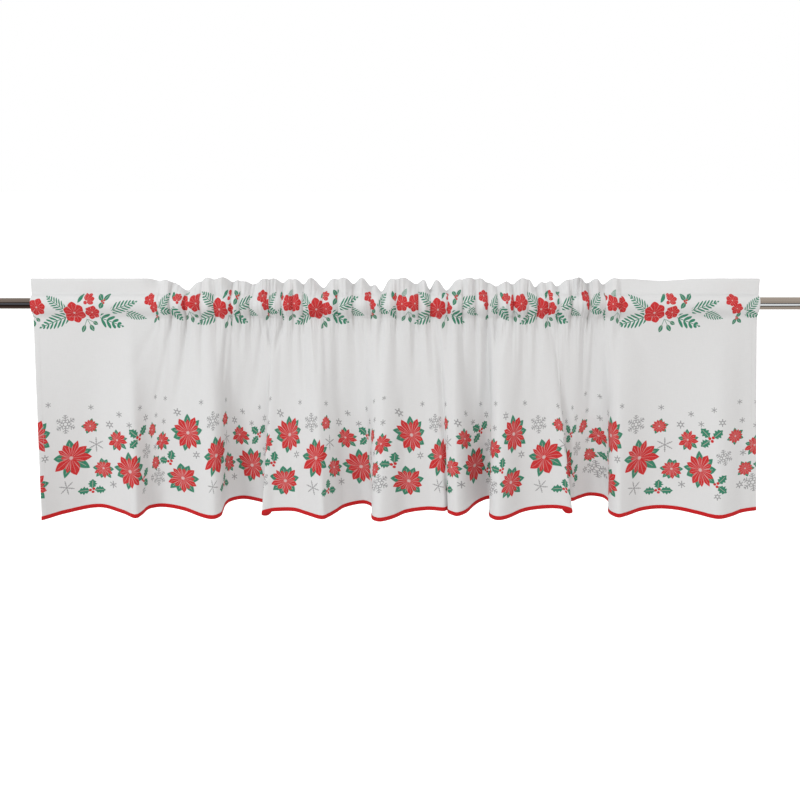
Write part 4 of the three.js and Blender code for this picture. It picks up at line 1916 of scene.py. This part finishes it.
@dataclass
class Studio:
    """A plain pale floor, soft light and the camera."""

    distance: float = 1.95       # metres from the rod to the camera
    height: float = 0.25         # metres of the camera above the rod
    pitch: float = 12.57         # degrees down
    lens: float = 47.19          # mm, on a sensor 36 mm wide
    floor_drop: float = 1.25     # metres from the rod to the floor
    floor_reach: float = 60.0    # metres to each side
    aim: tuple[float, float, float] = (0.0, 0.0, -0.2)    # the cloth's middle, in metres
    tent_radius: float = 4.0     # metres
    tent_sides: int = 48

    def build(self) -> None:
        """Builds the floor, the lights and the camera."""
        self._floor()
        self._world()
        self._light("key", (-3.2, -3.4, 1.9), size=1.6, power=92.0, colour=(0.95, 0.985, 1.0))
        self._light("front_fill", (1.6, -3.2, 0.6), size=2.4, power=22.0, colour=(1.0, 0.99, 0.98))
        self._tents()
        camera = bpy.data.cameras.new("camera")
        camera.lens = self.lens
        camera.sensor_width = 36.0
        holder = bpy.data.objects.new("camera", camera)
        holder.location = (0.0, -self.distance, self.height)
        holder.rotation_euler = (math.radians(90.0 - self.pitch), 0.0, 0.0)
        bpy.context.scene.collection.objects.link(holder)
        bpy.context.scene.camera = holder
        bpy.context.scene.view_settings.view_transform = "Standard"

    def _floor(self) -> None:
        """A wide white floor."""
        far = self.floor_reach
        mesh = bpy.data.meshes.new("floor")
        corners = [(-far, -far), (far, -far), (far, far), (-far, far)]
        mesh.from_pydata([(x, y, -self.floor_drop) for x, y in corners], [], [(0, 1, 2, 3)])
        shader = Shader("pale_floor")
        mesh.materials.append(shader.finish({
            "Base Color": (0.86, 0.86, 0.86), "Roughness": 0.95,
            "Emission Color": (1.0, 1.0, 1.0), "Emission Strength": 0.55,
        }))
        floor = add_piece("floor", mesh)
        floor.visible_diffuse = False
        floor.visible_glossy = False

    @staticmethod
    def _world() -> None:
        """White behind the valance, and a softer, warmer light on the side that it faces."""
        world = bpy.data.worlds.new("studio_white")
        world.use_nodes = True
        world.node_tree.nodes.clear()
        board = NodeBoard(world.node_tree)
        _, level, _ = board.split(board.node("ShaderNodeTexCoord").outputs["Generated"])
        stops = [(0.30, (0.72, 0.70, 0.685)), (0.60, (1.0, 1.0, 1.0))]
        sky = board.node("ShaderNodeValToRGB", {"stops": stops}, {"Fac": level * 0.5 + 0.5})
        light = board.node("ShaderNodeBackground", None, {"Color": sky.outputs[0], "Strength": 1.0})
        board.node("ShaderNodeOutputWorld", None, {"Surface": light.outputs[0]})
        bpy.context.scene.world = world

    def _light(
        self, name: str, place: tuple[float, float, float], size: float, power: float, colour: Colour
    ) -> None:
        """A square soft light that faces the valance.

        Args:
            name: the light's name.
            place: where it hangs, in metres.
            size: its side in metres.
            power: in watts.
            colour: its colour.
        """
        light = bpy.data.lights.new(name, "AREA")
        light.color = colour
        light.size = size
        light.energy = power
        holder = bpy.data.objects.new(name, light)
        holder.location = place
        holder.visible_glossy = False
        away = np.array(place) - np.array(self.aim)
        level = math.hypot(away[0], away[1])
        holder.rotation_euler = (math.atan2(level, away[2]), 0.0, math.atan2(away[0], -away[1]))
        bpy.context.scene.collection.objects.link(holder)

    def _tents(self) -> None:
        """Half tents round the rod that only polished steel shows, in bands along its length."""
        dark, taupe = (0.03, 0.025, 0.022), (0.50, 0.47, 0.43)
        self._tent("tent_left", (-9.0, 0.0), (
            (-180, taupe), (-105, (0.20, 0.16, 0.14)), (-60, (0.10, 0.07, 0.06)), (-24, dark),
            (-10, (0.34, 0.40, 0.48)), (2, (0.30, 0.36, 0.44)), (14, dark), (26, (0.12, 0.10, 0.09)),
            (42, (0.50, 0.46, 0.42)), (110, (0.62, 0.57, 0.53)), (180, taupe),
        ))
        self._tent("tent_right", (0.0, 9.0), (
            (-180, taupe), (-62, taupe), (-50, dark), (-42, dark), (-34, (1.1, 1.25, 1.4)),
            (-12, (1.2, 1.35, 1.5)), (-4, (0.9, 1.0, 1.1)), (2, dark), (10, dark), (18, taupe),
            (110, (0.62, 0.58, 0.54)), (180, taupe),
        ))

    def _tent(
        self, name: str, span: tuple[float, float], bands: Sequence[tuple[float, Colour]]
    ) -> None:
        """A wide tube round the rod's axis that glows in bands.

        Args:
            name: the object's name.
            span: its two ends along the rod.
            bands: (degrees above the front, glow), from the lowest up.
        """
        count, radius = self.tent_sides, self.tent_radius
        angles = [2 * math.pi * k / count for k in range(count)]
        points = [(x, -radius * math.cos(a), radius * math.sin(a)) for a in angles for x in span]
        pairs = [(k, (k + 1) % count) for k in range(count)]
        faces = [(2 * k, 2 * k + 1, 2 * m + 1, 2 * m) for k, m in pairs]
        mesh = bpy.data.meshes.new(name)
        mesh.from_pydata(points, [], faces)
        shader = Shader(name)
        _, y, z = shader.split(shader.node("ShaderNodeTexCoord").outputs["Object"])
        turn = z.math("ARCTAN2", -y) / (2 * math.pi) + 0.5
        stops = [((degrees + 180.0) / 360.0, glow) for degrees, glow in bands]
        glow = shader.node("ShaderNodeValToRGB", {"stops": stops}, {"Fac": turn}).outputs[0]
        mesh.materials.append(shader.finish({
            "Base Color": (0.0, 0.0, 0.0), "Roughness": 1.0, "Specular IOR Level": 0.0,
            "Emission Color": glow, "Emission Strength": 1.0,
        }))
        tent = add_piece(name, mesh)
        tent.visible_camera = False
        tent.visible_diffuse = False
        tent.visible_shadow = False


# ---- Putting it together --------------------------------------------------------------------------


def settle(piece: bpy.types.Object, slot: str, *nodes: str) -> bpy.types.Object:
    """Ties a finished piece to the frame.

    Args:
        piece: the piece.
        slot: the record's material slot; not used.
        nodes: the CAD nodes that it stands for.

    Returns:
        The piece.
    """
    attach(piece, BODY)
    if nodes:
        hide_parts(*nodes)
    log.info("%s: %d faces", piece.name, len(piece.data.polygons))
    return piece


def main() -> None:
    """Builds the studio, the rod, the cloth, its binding and its stitches, in that order."""
    Studio().build()
    # Both tubes are one satin steel: the narrow tube's darker colour and the wide tube's lighter one
    # are painted reflection of darker and brighter surroundings.
    narrow = settle(
        RodPiece(RodTube.NARROW, RodSteel("satin_steel_painted_dark_reflection", (0.36, 0.315, 0.29)), 1.0).build(),
        "rod_steel", "rod_tube_narrow",
    )
    wide = settle(
        RodPiece(RodTube.WIDE, RodSteel("satin_steel_painted_bright_reflection", (0.66, 0.60, 0.55)), 0.9).build(),
        "rod_steel", "rod_tube_wide",
    )
    plan = FoldPlan()
    valance = ValanceCloth(plan, (PrintChart(FLOWERS), PrintChart(SPRIGS)))
    cloth = settle(valance.build(), "printed_cotton", "valance_cloth")
    tape = settle(HemBinding(valance).build(), "red_binding", "hem_binding")
    thread = SewingThread("white_thread", (0.66, 0.65, 0.64)).build()
    surface = valance.thickness / 2 + valance.stitch_lift
    seams = StitchRows("seam_stitches", thread).build([
        valance.row_line(valance.pocket_row, surface),
        valance.row_line(valance.seam_row, surface),
        valance.column_line(valance.hem - valance.stitch_inset, surface),
        valance.column_line(plan.width - valance.hem + valance.stitch_inset, surface),
    ])
    settle(seams, "printed_cotton")


if __name__ == "__main__":
    logging.basicConfig(level=logging.INFO, format="%(message)s")
    main()
